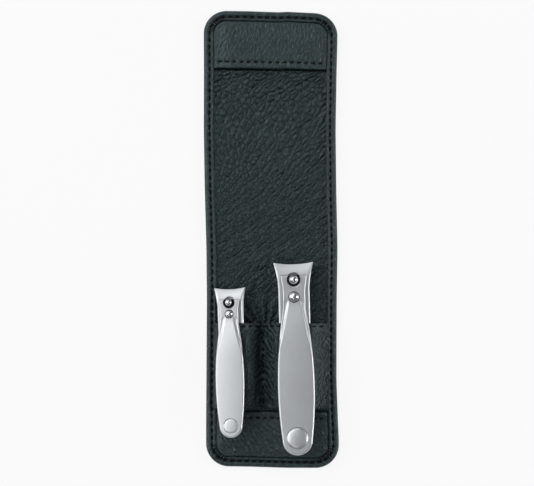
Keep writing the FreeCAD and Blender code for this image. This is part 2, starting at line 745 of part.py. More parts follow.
def sew(rows):
    """Lays stitches along rows of edges; each row is its edges and the direction that its leather faces."""
    bar = stitch_bar()
    seat = mm("size.stitch_seat")
    stitches = []
    for edges, facing in rows:
        run = sum(edge.Length for edge in edges)
        count = math.ceil(run / mm("size.stitch_pitch"))
        for step in range(count):
            left = (step + 0.5) * run / count
            edge_number = 0
            while left > edges[edge_number].Length:
                left -= edges[edge_number].Length
                edge_number += 1
            edge = edges[edge_number]
            parameter = edge.getParameterByLength(left)
            turn = FreeCAD.Rotation(edge.tangentAt(parameter), FreeCAD.Vector(), facing, "ZXY")
            stitch = bar.copy()
            stitch.Placement = FreeCAD.Placement(edge.valueAt(parameter) + facing * seat, turn)
            stitches.append(stitch)
    return Part.makeCompound(stitches)


def stitching(label, rows, placement=None):
    """A node of stitches."""
    piece = doc.addObject("Part::Feature", label)
    piece.Shape = sew(rows)
    add_piece(piece, label, placement)


def rim_row():
    """The row along the rim of one half, from fold to fold round the end."""
    inset = mm("size.edge_stitch_inset")
    half = mm("size.case_width / 2") - inset
    end = -(mm("size.case_length / 2") - inset)
    radius = mm("size.corner_radius") - inset
    fold = mm(PANEL_FOLD)
    height = mm(HEM_TOP)
    diagonal = radius * (1 - math.sqrt(0.5))
    edges = []
    corner = end + radius
    edges.append(Part.makeLine(FreeCAD.Vector(-half, fold, height), FreeCAD.Vector(-half, corner, height)))
    for side in (-1, 1):
        beside = FreeCAD.Vector(side * half, corner, height)
        middle = FreeCAD.Vector(side * (half - diagonal), end + diagonal, height)
        below = FreeCAD.Vector(side * (half - radius), end, height)
        ends = (beside, below) if side < 0 else (below, beside)
        edges.append(Part.Arc(ends[0], middle, ends[1]).toShape())
    run = Part.makeLine(FreeCAD.Vector(radius - half, end, height), FreeCAD.Vector(half - radius, end, height))
    edges.insert(2, run)
    edges.append(Part.makeLine(FreeCAD.Vector(half, corner, height), FreeCAD.Vector(half, fold, height)))
    return [(edges, UP)]


def spine_rows():
    half = mm("size.case_width / 2 - size.edge_stitch_inset")
    length = mm("(size.spine_width - size.fold_gap) / 2")
    height = mm(HEM_TOP)
    rows = []
    for side in (-half, half):
        ends = [FreeCAD.Vector(side, y, height) for y in (-length, length)]
        rows.append(([Part.makeLine(*ends)], UP))
    return rows


def band_row(edge, thickness):
    """The row along the free edge of a band."""
    y = mm(edge) - mm("size.band_stitch_inset")
    height = mm(f"{LINING_TOP} + {thickness}")
    half = mm(POCKET_FOOT)
    ends = [FreeCAD.Vector(x, y, height) for x in (-half, half)]
    return [([Part.makeLine(*ends)], UP)]


def pocket_hem_rows():
    """Rows along the mouth of the pockets: over each body, down to the seam and down to the right edge."""
    mouth = mm(MOUTH_Y)
    wall_y = mm(POCKET_END)
    share = mm("size.pocket_stitch_inset") / (mouth - wall_y)
    at_mouth = pocket_lines(mouth)[0]
    at_wall = pocket_lines(wall_y)[0]
    line = [front + (back - front) * share for front, back in zip(at_mouth, at_wall)]
    clear = mm("size.stitch_length / 2")
    rows = []
    for number in (1, 2, 4, 5, 6):
        here, there = line[number], line[number + 1]
        down = (at_wall[number] + at_wall[number + 1]) - (at_mouth[number] + at_mouth[number + 1])
        facing = (there - here).cross(-down).normalize()
        step = (there - here).normalize() * clear
        rows.append(([Part.makeLine(here + step, there - step)], facing))
    return rows


def divider_row():
    """The row down the seam between the two pockets."""
    place = [mm(SEAM_X), mm(f"{LINING_TOP} + size.pocket_thickness")]
    ends = [FreeCAD.Vector(place[0], mm(edge), place[1]) for edge in (MOUTH_Y, POCKET_BAND_EDGE)]
    return [([Part.makeLine(*ends)], UP)]



case_half("lower", FreeCAD.Placement())
case_spine()
case_half("upper", UPPER_PLACE)
plate(
    "pocket_band",
    panel_outline(BAND_INSET, POCKET_BAND_EDGE),
    LINING_TOP,
    "size.pocket_band_thickness",
)
closure_band()
closure_magnet()
pocket_front()
stitching("edge_stitching_lower", rim_row())
stitching("edge_stitching_spine", spine_rows())
stitching("edge_stitching_upper", rim_row(), UPPER_PLACE)
stitching("pocket_band_stitching", band_row(POCKET_BAND_EDGE, "size.pocket_band_thickness"))
stitching(
    "closure_band_stitching",
    band_row(CLOSURE_BAND_EDGE, f"{SLEEVE_HEIGHT} + size.closure_band_thickness"),
    UPPER_PLACE,
)
stitching("pocket_hem_stitching", pocket_hem_rows())
stitching("pocket_divider_stitching", divider_row())
for clipper in CLIPPERS:
    upper_jaw(clipper)
    lower_jaw(clipper)
    tail_rivet(clipper)
    drive_pin(clipper)
    fulcrum_rivet(clipper)
    lever(clipper)
    lever_disc(clipper)

doc.recompute()
for item in doc.Objects:
    if "Invalid" in item.State or "Error" in item.State:
        raise RuntimeError(f"{item.Label} failed: {item.State}")
for piece in pieces:
    if piece.Shape.isNull() or not piece.Shape.isValid():
        raise RuntimeError(f"{piece.Label} has no valid shape")
for piece in pieces:
    piece.Shape.exportStep(f"parts/{piece.Label}.step")
    print(f"{piece.Label}: {len(piece.Shape.Solids)} solids, {piece.Shape.Volume:.1f} mm3")
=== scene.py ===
"""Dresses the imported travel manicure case: leather, thread and steel on the bodies of the frame."""
import json
import math

import bpy
import numpy as np
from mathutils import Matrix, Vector
from mathutils.bvhtree import BVHTree


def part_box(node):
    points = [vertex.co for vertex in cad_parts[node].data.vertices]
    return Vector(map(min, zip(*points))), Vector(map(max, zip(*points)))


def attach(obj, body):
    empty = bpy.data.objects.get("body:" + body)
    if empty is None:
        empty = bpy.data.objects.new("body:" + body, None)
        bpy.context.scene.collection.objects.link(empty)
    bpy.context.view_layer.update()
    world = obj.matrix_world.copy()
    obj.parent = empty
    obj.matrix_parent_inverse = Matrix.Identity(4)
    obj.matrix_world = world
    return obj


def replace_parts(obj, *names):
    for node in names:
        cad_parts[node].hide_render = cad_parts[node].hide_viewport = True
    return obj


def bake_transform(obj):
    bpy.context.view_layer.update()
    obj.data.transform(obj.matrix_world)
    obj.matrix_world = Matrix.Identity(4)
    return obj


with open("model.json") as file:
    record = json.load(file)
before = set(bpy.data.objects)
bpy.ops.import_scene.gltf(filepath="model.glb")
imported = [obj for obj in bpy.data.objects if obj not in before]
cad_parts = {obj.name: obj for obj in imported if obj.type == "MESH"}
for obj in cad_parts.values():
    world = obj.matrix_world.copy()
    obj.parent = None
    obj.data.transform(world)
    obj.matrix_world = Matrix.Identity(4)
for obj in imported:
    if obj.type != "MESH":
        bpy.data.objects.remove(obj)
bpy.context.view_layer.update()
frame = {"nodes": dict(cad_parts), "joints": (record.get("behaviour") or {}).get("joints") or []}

bl_info = {
    "name": "Travel manicure case",
    "version": (1, 0, 0),
    "blender": (4, 5, 0),
    "location": "View3D > Sidebar > Case",
    "description": "Leather case with two nail clippers, dressed over its packed frame",
    "category": "Object",
}

MM = 0.001
JOINTS = {joint["name"]: joint for joint in frame["joints"]}
NODES = frame["nodes"]


def linear(hex_code):
    """Linear red, green and blue of an sRGB hex colour."""
    channels = [int(hex_code[i:i + 2], 16) / 255 for i in (1, 3, 5)]
    return tuple(c / 12.92 if c <= 0.04045 else ((c + 0.055) / 1.055) ** 2.4 for c in channels)


def add_node(tree, kind, inputs=None, **settings):
    """Adds a shader node; an input takes a value, a socket or a node, whose first output is meant."""
    node = tree.nodes.new(f"ShaderNode{kind}")
    for name, value in settings.items():
        setattr(node, name, value)
    for socket, value in (inputs or {}).items():
        if isinstance(value, bpy.types.Node):
            value = value.outputs[0]
        if isinstance(value, bpy.types.NodeSocket):
            tree.links.new(value, node.inputs[socket])
        else:
            node.inputs[socket].default_value = value
    return node


def start_material(name):
    """An empty material, its node tree and its object coordinates."""
    material = bpy.data.materials.new(name)
    material.use_nodes = True
    material.node_tree.nodes.clear()
    coords = add_node(material.node_tree, "TexCoord")
    return material, material.node_tree, coords.outputs["Object"]


def finish_material(material, inputs):
    """Gives the material its surface shader."""
    tree = material.node_tree
    shader = add_node(tree, "BsdfPrincipled", inputs)
    add_node(tree, "OutputMaterial", {"Surface": shader})
    return material


# Settings of a mix of two colours, and its sockets by number, because their names repeat.
MIX_COLOURS = {"data_type": "RGBA", "clamp_factor": True}
MIX_FACTOR = 0
MIX_LOW = 6
MIX_HIGH = 7
MIX_RESULT = 2


def between(shades, factor):
    """What a mix takes in to go from a low to a high shade, by a pattern."""
    low, high = shades
    return {MIX_FACTOR: factor, MIX_LOW: (*low, 1), MIX_HIGH: (*high, 1)}


def per_step(*millimetres):
    """Scale of coordinates that are counted in steps of so many millimetres along each axis."""
    return [1 / (size * MM) for size in millimetres]


# Real sizes in millimetres: soft clouding, how far it bends the grain, and how far round a hollow the painted
# shade in the leather's creases reaches.
CLOUD_SIZE = 14
GRAIN_DRIFT = 4
PAINTED_SHADE_REACH = 1.2
# Pores are near 0.1 mm across; they are drawn at 0.35 mm, because finer ones don't show in a render.
PORE_SIZE = 0.35
# Share of a pebble's width over which its dome rises from the crease.
DOME_SHARE = 0.45
# Shares of the relief between which the leather's colour goes from its creases to its tops; the darker
# creases are partly painted shade.
SHADE_LOW = 0.2
SHADE_HIGH = 0.8
# How open the surroundings are where the painted shade in a hollow is fullest, and where a grain's top gets
# none of it.
PAINTED_SHADE_FULL = 0.72
PAINTED_SHADE_NONE = 0.98
# How much rougher creases are, how much smoother the tops are, and the share of gloss kept where the painted
# shade is fullest.
CREASE_ROUGHER = 0.15
TOP_SMOOTHER = 0.05
SHADED_SHINE_SHARE = 0.25
# Plies repeat every 0.25 mm; they are drawn at 0.5 mm, because finer ones don't show in a render.
PLY_SIZE = 0.5
# Length over which a wave texture of scale 1 repeats.
WAVE_LENGTH = 0.314
FIBRE_SIZE = 0.8
# Sums of clouding and marks on steel, and the shares of its roughness that they stand for.
MARKS_RANGE = (0.4, 1.1)
ROUGHNESS_RANGE = (0.82, 1.2)
# How much white covers the floor's paint for the camera; the rest of the paint keeps the shadow.
WHITE_SHARE = 0.875


def milled_leather(name, shades, pebble, lean, crease, relief, roughness, shine):
    """Full-grain leather tumbled in a drum: soft pebbles parted by dark creases, with a dull gloss on top.

    Pebble and crease are (length, width) in millimetres, laid along the lean in degrees.
    Relief is the height in millimetres of pebbles, creases and pores. Shine is the strength of its gloss.
    """
    material, tree, coords = start_material(name)
    clouds = {"Vector": coords, "Scale": 1 / (CLOUD_SIZE * MM), "Detail": 2}
    drift = add_node(tree, "TexNoise", clouds).outputs["Color"]
    reach = (GRAIN_DRIFT * MM, GRAIN_DRIFT * MM, 0)
    offset = add_node(tree, "VectorMath", {0: drift, 1: reach}, operation="MULTIPLY")
    moved = add_node(tree, "VectorMath", {0: coords, 1: offset}, operation="ADD")
    turn = add_node(tree, "Mapping", {"Vector": moved, "Rotation": (0, 0, -math.radians(lean))})
    pebble_scale = {"Vector": turn, "Scale": per_step(*pebble, pebble[1])}
    cells = {"Vector": add_node(tree, "Mapping", pebble_scale), "Scale": 1}
    pebbles = add_node(tree, "TexVoronoi", cells, feature="DISTANCE_TO_EDGE")
    dome = add_node(tree, "MapRange", {"Value": pebbles, "From Min": 0, "From Max": DOME_SHARE})
    crease_scale = {"Vector": turn, "Scale": per_step(*crease, crease[1])}
    folds = {"Vector": add_node(tree, "Mapping", crease_scale), "Scale": 1, "Detail": 3, "Roughness": 0.55}
    waves = add_node(tree, "TexNoise", folds)
    holes = {"Vector": coords, "Scale": 1 / (PORE_SIZE * MM), "Detail": 2}
    pores = add_node(tree, "TexNoise", holes)
    pebble_high, crease_high, pore_high = relief
    sum_of = {"operation": "MULTIPLY_ADD"}
    creased = add_node(tree, "Math", {0: waves, 1: crease_high / pebble_high, 2: dome}, **sum_of)
    height = add_node(tree, "Math", {0: pores, 1: pore_high / pebble_high, 2: creased}, **sum_of)
    bump = add_node(tree, "Bump", {"Height": height, "Strength": 1, "Distance": pebble_high * MM})
    total = 1 + crease_high / pebble_high
    middle = {"Value": creased, "From Min": SHADE_LOW * total, "From Max": SHADE_HIGH * total}
    share = add_node(tree, "MapRange", middle)
    # Painted shade: where the modelled relief is hollow, ambient occlusion darkens the colour of the creases
    # and weakens their gloss; the creases are also made rougher.
    hollow = add_node(
        tree, "AmbientOcclusion", {"Distance": PAINTED_SHADE_REACH * MM}, samples=8, only_local=True
    )
    painted_shade_range = {"Value": hollow.outputs["AO"], "From Min": PAINTED_SHADE_FULL, "From Max": PAINTED_SHADE_NONE}
    painted_light_share = add_node(tree, "MapRange", painted_shade_range)
    grain = add_node(tree, "Math", {0: share, 1: painted_light_share}, operation="MULTIPLY")
    dullness = {
        "Value": grain, "To Min": roughness + CREASE_ROUGHER, "To Max": roughness - TOP_SMOOTHER,
    }
    gloss = add_node(tree, "MapRange", dullness)
    # Painted shade in hollows: the gloss weakens there and the base colour goes towards the crease shade.
    shaded_shine = add_node(tree, "MapRange", {"Value": painted_light_share, "To Min": SHADED_SHINE_SHARE * shine, "To Max": shine})
    colour = add_node(tree, "Mix", between(shades, grain), **MIX_COLOURS)
    return finish_material(material, {
        "Base Color": colour.outputs[MIX_RESULT],
        "Roughness": gloss,
        "IOR": 1.5,
        "Specular IOR Level": shaded_shine,
        # The dye shows in the gloss as a cool tint.
        "Specular Tint": (*linear("#E6FBFF"), 1),
        "Normal": bump,
    })


def twisted_thread(name, shades):
    """Bonded polyester thread, twisted from plies: dull, with a fine slanted rib, and near black, which is
    partly painted shade of the furrows the stitches lie in.
    """
    material, tree, coords = start_material(name)
    ribs = {"Vector": coords, "Scale": WAVE_LENGTH / (PLY_SIZE * MM), "Distortion": 0.6}
    plies = add_node(tree, "TexWave", ribs, bands_direction="DIAGONAL").outputs["Fac"]
    bump = add_node(tree, "Bump", {"Height": plies, "Strength": 0.7, "Distance": 0.06 * MM})
    colour = add_node(tree, "Mix", between(shades, plies), **MIX_COLOURS)
    return finish_material(material, {
        "Base Color": colour.outputs[MIX_RESULT],
        "Roughness": 0.75,
        "IOR": 1.57,
        "Specular IOR Level": 0.15,
        "Normal": bump,
    })


def worked_steel(name, shades, roughness, grit):
    """Stainless steel, belt-ground along its length and then satin or mirror finished; a dark kind is painted
    shade on the rough walls of holes.

    Grit is the width, length and depth in millimetres of the marks that are left along the piece. They spread
    the gloss into soft streaks.
    """
    material, tree, coords = start_material(name)
    width, length, depth = grit
    mark_scale = {"Vector": coords, "Scale": per_step(width, length, width)}
    lines = {"Vector": add_node(tree, "Mapping", mark_scale), "Scale": 1, "Detail": 3}
    marks = add_node(tree, "TexNoise", lines)
    clouds = {"Vector": coords, "Scale": 1 / (CLOUD_SIZE * MM), "Detail": 2}
    cloud = add_node(tree, "TexNoise", clouds)
    blend = add_node(tree, "Math", {0: cloud, 1: 0.5, 2: marks}, operation="MULTIPLY_ADD")
    least, most = [roughness * share for share in ROUGHNESS_RANGE]
    low, high = MARKS_RANGE
    spread = {"Value": blend, "From Min": low, "From Max": high, "To Min": least, "To Max": most}
    gloss = add_node(tree, "MapRange", spread)
    bump = add_node(tree, "Bump", {"Height": marks, "Strength": 1, "Distance": depth * MM})
    colour = add_node(tree, "Mix", between(shades, marks), **MIX_COLOURS)
    return finish_material(material, {
        "Base Color": colour.outputs[MIX_RESULT],
        "Metallic": 1.0,
        "Roughness": gloss,
        "Normal": bump,
    })


def matt_sheet(name, shades):
    """Sheet pressed from paper pulp or rolled from ferrite and rubber: matt, with short darker flecks."""
    material, tree, coords = start_material(name)
    flecks = {"Vector": coords, "Scale": 1 / (FIBRE_SIZE * MM), "Detail": 5}
    fibres = add_node(tree, "TexNoise", flecks)
    bump = add_node(tree, "Bump", {"Height": fibres, "Strength": 0.5, "Distance": 0.05 * MM})
    colour = add_node(tree, "Mix", between(shades, fibres), **MIX_COLOURS)
    return finish_material(material, {
        "Base Color": colour.outputs[MIX_RESULT],
        "Roughness": 0.9,
        "IOR": 1.5,
        "Normal": bump,
    })


def studio_floor(name, shades):
    """Painted board seen as white by the camera, still taking the shadow of the case."""
    material, tree, coords = start_material(name)
    mottle = add_node(tree, "TexNoise", {"Vector": coords, "Scale": 8, "Detail": 2})
    colour = add_node(tree, "Mix", between(shades, mottle), **MIX_COLOURS)
    paint = add_node(tree, "BsdfDiffuse", {"Color": colour.outputs[MIX_RESULT]})
    white = add_node(tree, "Emission", {"Strength": 1})
    rays = add_node(tree, "LightPath").outputs
    shown = rays["Is Camera Ray"]
    for other in ("Is Glossy Ray", "Is Transmission Ray"):
        shown = add_node(tree, "Math", {0: shown, 1: rays[other]}, operation="MAXIMUM")
    part = add_node(tree, "Math", {0: shown, 1: WHITE_SHARE}, operation="MULTIPLY")
    surface = add_node(tree, "MixShader", {0: part, 1: paint, 2: white})
    add_node(tree, "OutputMaterial", {"Surface": surface})
    return material


def make_piece(name, points, faces, material, slot=None):
    """A smooth mesh object from points in millimetres."""
    mesh = bpy.data.meshes.new(name)
    mesh.from_pydata((np.asarray(points) * MM).tolist(), [], faces)
    mesh.polygons.foreach_set("use_smooth", [True] * len(mesh.polygons))
    mesh.materials.append(material)
    piece = bpy.data.objects.new(name, mesh)
    bpy.context.scene.collection.objects.link(piece)
    return piece if slot else piece


def quads(index, wrapped=False):
    """Faces between neighbours in a grid of point numbers, whose columns may run round."""
    if wrapped:
        index = np.hstack([index, index[:, :1]])
    return np.stack([index[:-1, :-1], index[:-1, 1:], index[1:, 1:], index[1:, :-1]], -1).reshape(-1, 4)


def closed_sheet(top, bottom):
    """Points and faces of a sheet between two surfaces that are given row by row."""
    rows, columns = top.shape[:2]
    index = np.arange(rows * columns).reshape(rows, columns)
    upper = quads(index)
    lower = upper[:, ::-1] + rows * columns
    border = np.concatenate([index[0, :-1], index[:-1, -1], index[-1, :0:-1], index[:0:-1, 0]])
    ahead = np.roll(border, -1)
    wall = np.stack([border + rows * columns, ahead + rows * columns, ahead, border], -1)
    points = np.concatenate([top.reshape(-1, 3), bottom.reshape(-1, 3)])
    return points, np.concatenate([upper, lower, wall]).tolist()


def over_grid(x, y, *heights):
    """Points over a grid, for each of the heights given."""
    return [np.stack([x, y, height], -1) for height in heights]


def eased(at, places, values):
    """A curve through values at places, rounded where it turns."""
    fine = np.linspace(places[0], places[-1], 801)
    reach = 30
    window = np.hanning(2 * reach + 1)
    line = np.pad(np.interp(fine, places, values), reach, mode="edge")
    return np.interp(at, fine, np.convolve(line, window / window.sum(), "valid"))


def ramp(value):
    """Smooth step from 0 to 1."""
    held = np.clip(value, 0, 1)
    return held * held * (3 - 2 * held)


def bell(distance, width):
    """Smooth hump of height 1 that fades away over a width."""
    return np.exp(-(distance / width) ** 2)


def fading(distance, width):
    """Share that falls from 1 to about a third over each width of distance."""
    return np.exp(-distance / width)


def through(points, steps):
    """A Catmull-Rom line through points, with so many steps between each two."""
    points = np.asarray(points, float)
    ends = np.vstack([2 * points[0] - points[1], points, 2 * points[-1] - points[-2]])
    share = np.linspace(0, 1, steps, endpoint=False)[:, None]
    spans = [
        0.5 * (
            2 * b + (c - a) * share + (2 * a - 5 * b + 4 * c - d) * share ** 2
            + (3 * b - a - 3 * c + d) * share ** 3
        )
        for a, b, c, d in zip(ends[:-3], ends[1:-2], ends[2:-1], ends[3:])
    ]
    return np.vstack(spans + [points[-1:]])


def soften(grid, axis, reach):
    """A grid smoothed along one axis over so many cells."""
    window = np.hanning(2 * reach + 3)[1:-1]
    pad = [(reach, reach) if axis == i else (0, 0) for i in range(2)]
    wide = np.pad(grid, pad, mode="edge")
    return np.apply_along_axis(lambda line: np.convolve(line, window / window.sum(), "valid"), axis, wide)


def pebbled(run, over, seed):
    """Height, from 0 in the creases to 1, of grain whose pebbles are one unit long and one unit wide."""
    # The pattern repeats after so many pebbles; a crease takes up this share of one.
    repeat = 64
    crease = 0.6
    spots = np.random.default_rng(seed).random((repeat, repeat, 2))
    column, row = np.floor(run).astype(int), np.floor(over).astype(int)
    gaps = []
    for i in (-1, 0, 1):
        for k in (-1, 0, 1):
            spot = spots[(column + i) % repeat, (row + k) % repeat]
            gaps.append(np.hypot(column + i + spot[..., 0] - run, row + k + spot[..., 1] - over))
    nearest, second = np.sort(np.stack(gaps), axis=0)[:2]
    return 1 - np.clip(1 - (second - nearest) / crease, 0, 1) ** 2


def wrinkled(x, y, lean, length, width, seed):
    """Grain drawn out along a lean in degrees, for leather that was pulled."""
    turn = math.radians(lean)
    stray = 0.5 * np.sin(0.45 * x + seed) + 0.5 * np.sin(0.37 * y + 2 * seed)
    run = x * math.cos(turn) + y * math.sin(turn)
    over = y * math.cos(turn) - x * math.sin(turn) + stray
    return pebbled(run / length, over / width, seed)


# Most of a wrinkled surface lies this far up between its creases and its tops.
WRINKLE_LEVEL = 0.7


def surface_of(piece):
    """Search tree of a piece's own faces, in metres."""
    mesh = piece.data
    points = [vertex.co.copy() for vertex in mesh.vertices]
    return BVHTree.FromPolygons(points, [tuple(face.vertices) for face in mesh.polygons])


def height_on(tree, x, y, fallback, from_below=False):
    """Height in millimetres of a surface over a place, met from above or from below."""
    up = 1 if from_below else -1
    start = Vector((x * MM, y * MM, -0.1 * up))
    hit = tree.ray_cast(start, Vector((0, 0, up)))[0]
    return fallback if hit is None else hit.z / MM


def edge_of(node, side, axis):
    """Place in millimetres of one side of a node's box: 0 is its low side and 1 its high side."""
    return getattr(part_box(node)[side], axis) / MM


# The case in millimetres, from the boxes and joints of the frame.
CASE_X = edge_of("outer_cover_lower", 1, "x")
CASE_Y = -edge_of("outer_cover_lower", 0, "y")
LINING_Z = edge_of("lining_lower", 1, "z")
MOUTH_Y = edge_of("pocket_front", 1, "y")
POCKET_X = edge_of("pocket_front", 1, "x")
POCKET_BAND_Y = edge_of("pocket_band", 1, "y")
CLOSURE_BAND_Y = edge_of("closure_band", 0, "y")
SEAM_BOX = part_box("pocket_divider_stitching")
SEAM_X = (SEAM_BOX[0].x + SEAM_BOX[1].x) / 2 / MM

# Its corners, the width and height of its hem, and how far the pocket reaches over that hem.
CASE_CORNER = 9.5
HEM = 4.2
HEM_TOP = 3.65
POCKET_EDGE = CASE_X - 3.05

# Leather never lies quite straight: how far each edge strays, in millimetres, at places along it.
LIE_ALONG = (-95, -88, -84, -79, -59, -25, -4, 21, 46, 71, 83, 95)
LIE_LEFT = (0.6, 0.6, 0.6, 0.56, 0.7, 0.9, 0.7, 0.0, -0.4, -0.33, -0.4, -0.4)
LIE_RIGHT = (0.8, 0.9, 1.1, 0.75, 0.0, 0.1, 0.44, -0.1, -0.35, 0.06, 0.4, 0.4)
LIE_ACROSS = (-27, -18, -9, 3, 7, 20, 27)
LIE_TOP = (0.3, 0.26, 0.14, -0.3, -0.1, -0.75, -0.8)
LIE_BOTTOM = (0.4, 0.32, 0.2, -0.2, -0.3, -0.3, -0.3)
# How far from the middle each end starts to stray, and over what length it takes hold.
TOP_STRAY = (45, 45)
BOTTOM_STRAY = (60, 30)


def lie(points):
    """Moves points of the leather from the drawn rectangle to how the case lies."""
    laid = np.array(points, float)
    x, y = laid[..., 0].copy(), laid[..., 1].copy()
    across = np.clip(x / (2 * CASE_X) + 0.5, 0, 1)
    left, right = eased(y, LIE_ALONG, LIE_LEFT), eased(y, LIE_ALONG, LIE_RIGHT)
    laid[..., 0] += left * (1 - across) + right * across
    for end, strays, (start, reach) in ((y, LIE_TOP, TOP_STRAY), (-y, LIE_BOTTOM, BOTTOM_STRAY)):
        laid[..., 1] += eased(x, LIE_ACROSS, strays) * ramp((end - start) / reach)
    return laid


def fold_over(lower, upper, reach):
    """Bakes where the two parts of a leather piece lie into their points; it does not bend them round the
    folds of the case.
    """
    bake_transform(lower)
    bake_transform(upper)


def cut_at_spine(points, faces):
    """The part of a mesh below the middle of the spine, and the part above it."""
    below = [points[face, 1].mean() < 0 for face in faces]
    parts = []
    for wanted in (True, False):
        kept = [face for face, low in zip(faces, below) if low == wanted]
        used = np.unique(np.concatenate([np.asarray(face) for face in kept]))
        place = np.full(len(points), -1)
        place[used] = np.arange(len(used))
        parts.append((points[used], [place[face].tolist() for face in kept]))
    return parts


# Points of the outline on a side, an end and a corner.
SIDE_POINTS = 343
END_POINTS = 73
CORNER_POINTS = 47


def rim_path():
    """The case's outline, anticlockwise: centres, outward directions and places on corners, from 0 to 1."""
    inner_x, inner_y = CASE_X - CASE_CORNER, CASE_Y - CASE_CORNER
    side = np.linspace(-inner_y, inner_y, SIDE_POINTS)
    end = np.linspace(inner_x, -inner_x, END_POINTS)
    turn = np.linspace(0, 1, CORNER_POINTS + 2)[1:-1]
    parts = []
    for quarter, straight in enumerate((side, end, -side, -end)):
        out = (math.cos(quarter * math.pi / 2), math.sin(quarter * math.pi / 2))
        if quarter % 2 == 0:
            centres = np.stack([np.full(len(straight), out[0] * inner_x), straight], -1)
        else:
            centres = np.stack([straight, np.full(len(straight), out[1] * inner_y)], -1)
        parts.append((centres, np.tile(out, (len(straight), 1)), np.full(len(straight), -1.0)))
        angles = (quarter + turn) * math.pi / 2
        outward = np.stack([np.cos(angles), np.sin(angles)], -1)
        parts.append((np.tile(centres[-1], (len(turn), 1)), outward, turn))
    return [np.concatenate(arrays) for arrays in zip(*parts)]


def rim_line(inset):
    """Points of the outline at an inset from the edge."""
    centres, outward, _ = rim_path()
    return centres + outward * (CASE_CORNER - inset)


def stitch_places(inset, pitch):
    """Places along the rim from the middle of the spine, counted in stitches, and how many a half takes."""
    line = rim_line(inset)
    steps = np.linalg.norm(np.diff(line, axis=0, append=line[:1]), axis=1)
    run = np.concatenate([[0], np.cumsum(steps)[:-1]])
    half = steps.sum() / 2
    count = round(half / pitch)
    return (run - run[SIDE_POINTS // 2]) / half * count, count


def stitch_pull(places):
    """How hard the thread draws the leather in: 0 between two stitches, 1 in the middle of one."""
    return 0.5 - 0.5 * np.cos(2 * math.pi * places)


# Section of the cover from its back, round its edge and over the hem: inset from the edge and height.
COVER_BACK = ((9.0, 0.0), (6.0, 0.0))
COVER_EDGE = (
    (3.4, 0.0), (2.9, 0.0), (2.4, 0.05), (1.9, 0.02), (1.4, 0.05), (0.8, 0.28), (0.3, 0.8), (0.04, 1.45),
    (0.06, 2.1), (0.32, 2.75), (0.8, 3.2), (1.4, 3.4), (1.95, 3.4), (2.4, 3.3), (2.85, 3.52), (3.3, 3.72),
    (3.72, 3.62), (4.05, 3.25), (4.18, 2.8), (4.14, 2.45),
)
COVER_INSIDE = ((1.2, 2.45), (1.0, 2.3), (1.0, 1.0), (9.0, 1.0))
# Points with a smaller inset belong to the hem, points with a smaller height to the back.
HEM_REACH = 4.5
BACK_TOP = 0.9
# Width and depth of the furrow that the thread draws, in front and behind, and depth of the pleats.
FURROW_WIDTH = 0.6
FURROW_DEPTH = 0.55
BACK_FURROW_DEPTH = 0.36
PLEAT_DEPTH = 0.95
# Unrest of the hem: height, waves round the case and where they start.
UNREST = ((0.05, 31, 1.0), (0.04, 74, 0.0), (0.03, 147, 2.0))


def cover_shape(pitch, stitch_inset, pleats):
    """Points and faces of the whole outer cover, with its stitch furrow and gathered corners."""
    centres, outward, corner = rim_path()
    section = np.vstack([COVER_BACK, through(COVER_EDGE, 3), COVER_INSIDE])
    inset, height = section[:, :1], section[:, 1:]
    on_top = ramp((height - 2.2) / 0.8) * (inset < HEM_REACH)
    on_back = (height < BACK_TOP) & (inset < HEM_REACH)
    pull = stitch_pull(stitch_places(stitch_inset, pitch)[0])
    furrow = bell(inset - stitch_inset, FURROW_WIDTH)
    rings = np.empty((len(section), len(centres), 3))
    rings[..., :2] = centres + outward * (CASE_CORNER - inset[..., None])
    rings[..., 2] = height
    rings[..., 2] -= FURROW_DEPTH * furrow * (0.3 + 0.7 * pull) * on_top
    rings[..., 2] += BACK_FURROW_DEPTH * furrow * (0.65 + 0.35 * pull) * on_back
    # The leather is gathered round each corner, so it lies in small pleats that deepen towards the hem.
    gather = np.where(corner >= 0, np.sin(math.pi * np.clip(corner, 0, 1)) ** 0.5, 0)
    uneven = corner * pleats + 0.35 * np.sin(corner * 9 + centres[:, 1])
    crease = (1 - np.abs(np.sin(math.pi * uneven))) ** 2
    rings[..., 2] -= PLEAT_DEPTH * crease * gather * ramp((inset - 0.7) / 2.6) * on_top
    along = np.arange(len(centres)) / len(centres) * 2 * math.pi
    rings[..., 2] += sum(high * np.sin(waves * along + start) for high, waves, start in UNREST) * on_top
    rings[..., 2] = np.maximum(rings[..., 2], 0.0)

    index = np.arange(rings[..., 0].size).reshape(rings.shape[:2])
    faces = quads(index, wrapped=True).tolist()
    right = np.arange(SIDE_POINTS)
    left = (right + SIDE_POINTS + END_POINTS + 2 * CORNER_POINTS)[::-1]
    for ring, flip in ((index[0], -1), (index[-1], 1)):
        strips = np.stack([ring[right[:-1]], ring[right[1:]], ring[left[1:]], ring[left[:-1]]], -1)
        faces += strips[:, ::flip].tolist()
        faces.append(ring[right[-1]:left[-1] + 1][::flip].tolist())
        faces.append(np.append(ring[left[0]:], ring[0])[::flip].tolist())
    return rings.reshape(-1, 3), faces


# The lining reaches this far under the hem; each half has a grid of so many columns and rows.
LINING_X = 23.9
LINING_Y = CASE_Y - HEM + 0.4
LINING_COLUMNS = 161
LINING_ROWS = 301
# Its pebbles and its folds: depth, length and width.
LINING_PEBBLES = (0.42, 2.5, 2.7)
LINING_FOLDS = (0.3, 12, 5.5)
# Below the edge of the closure band the lining is pressed down into a groove, so far from it and so wide.
GROOVE_GAP = 0.35
GROOVE_WIDTH = 0.38


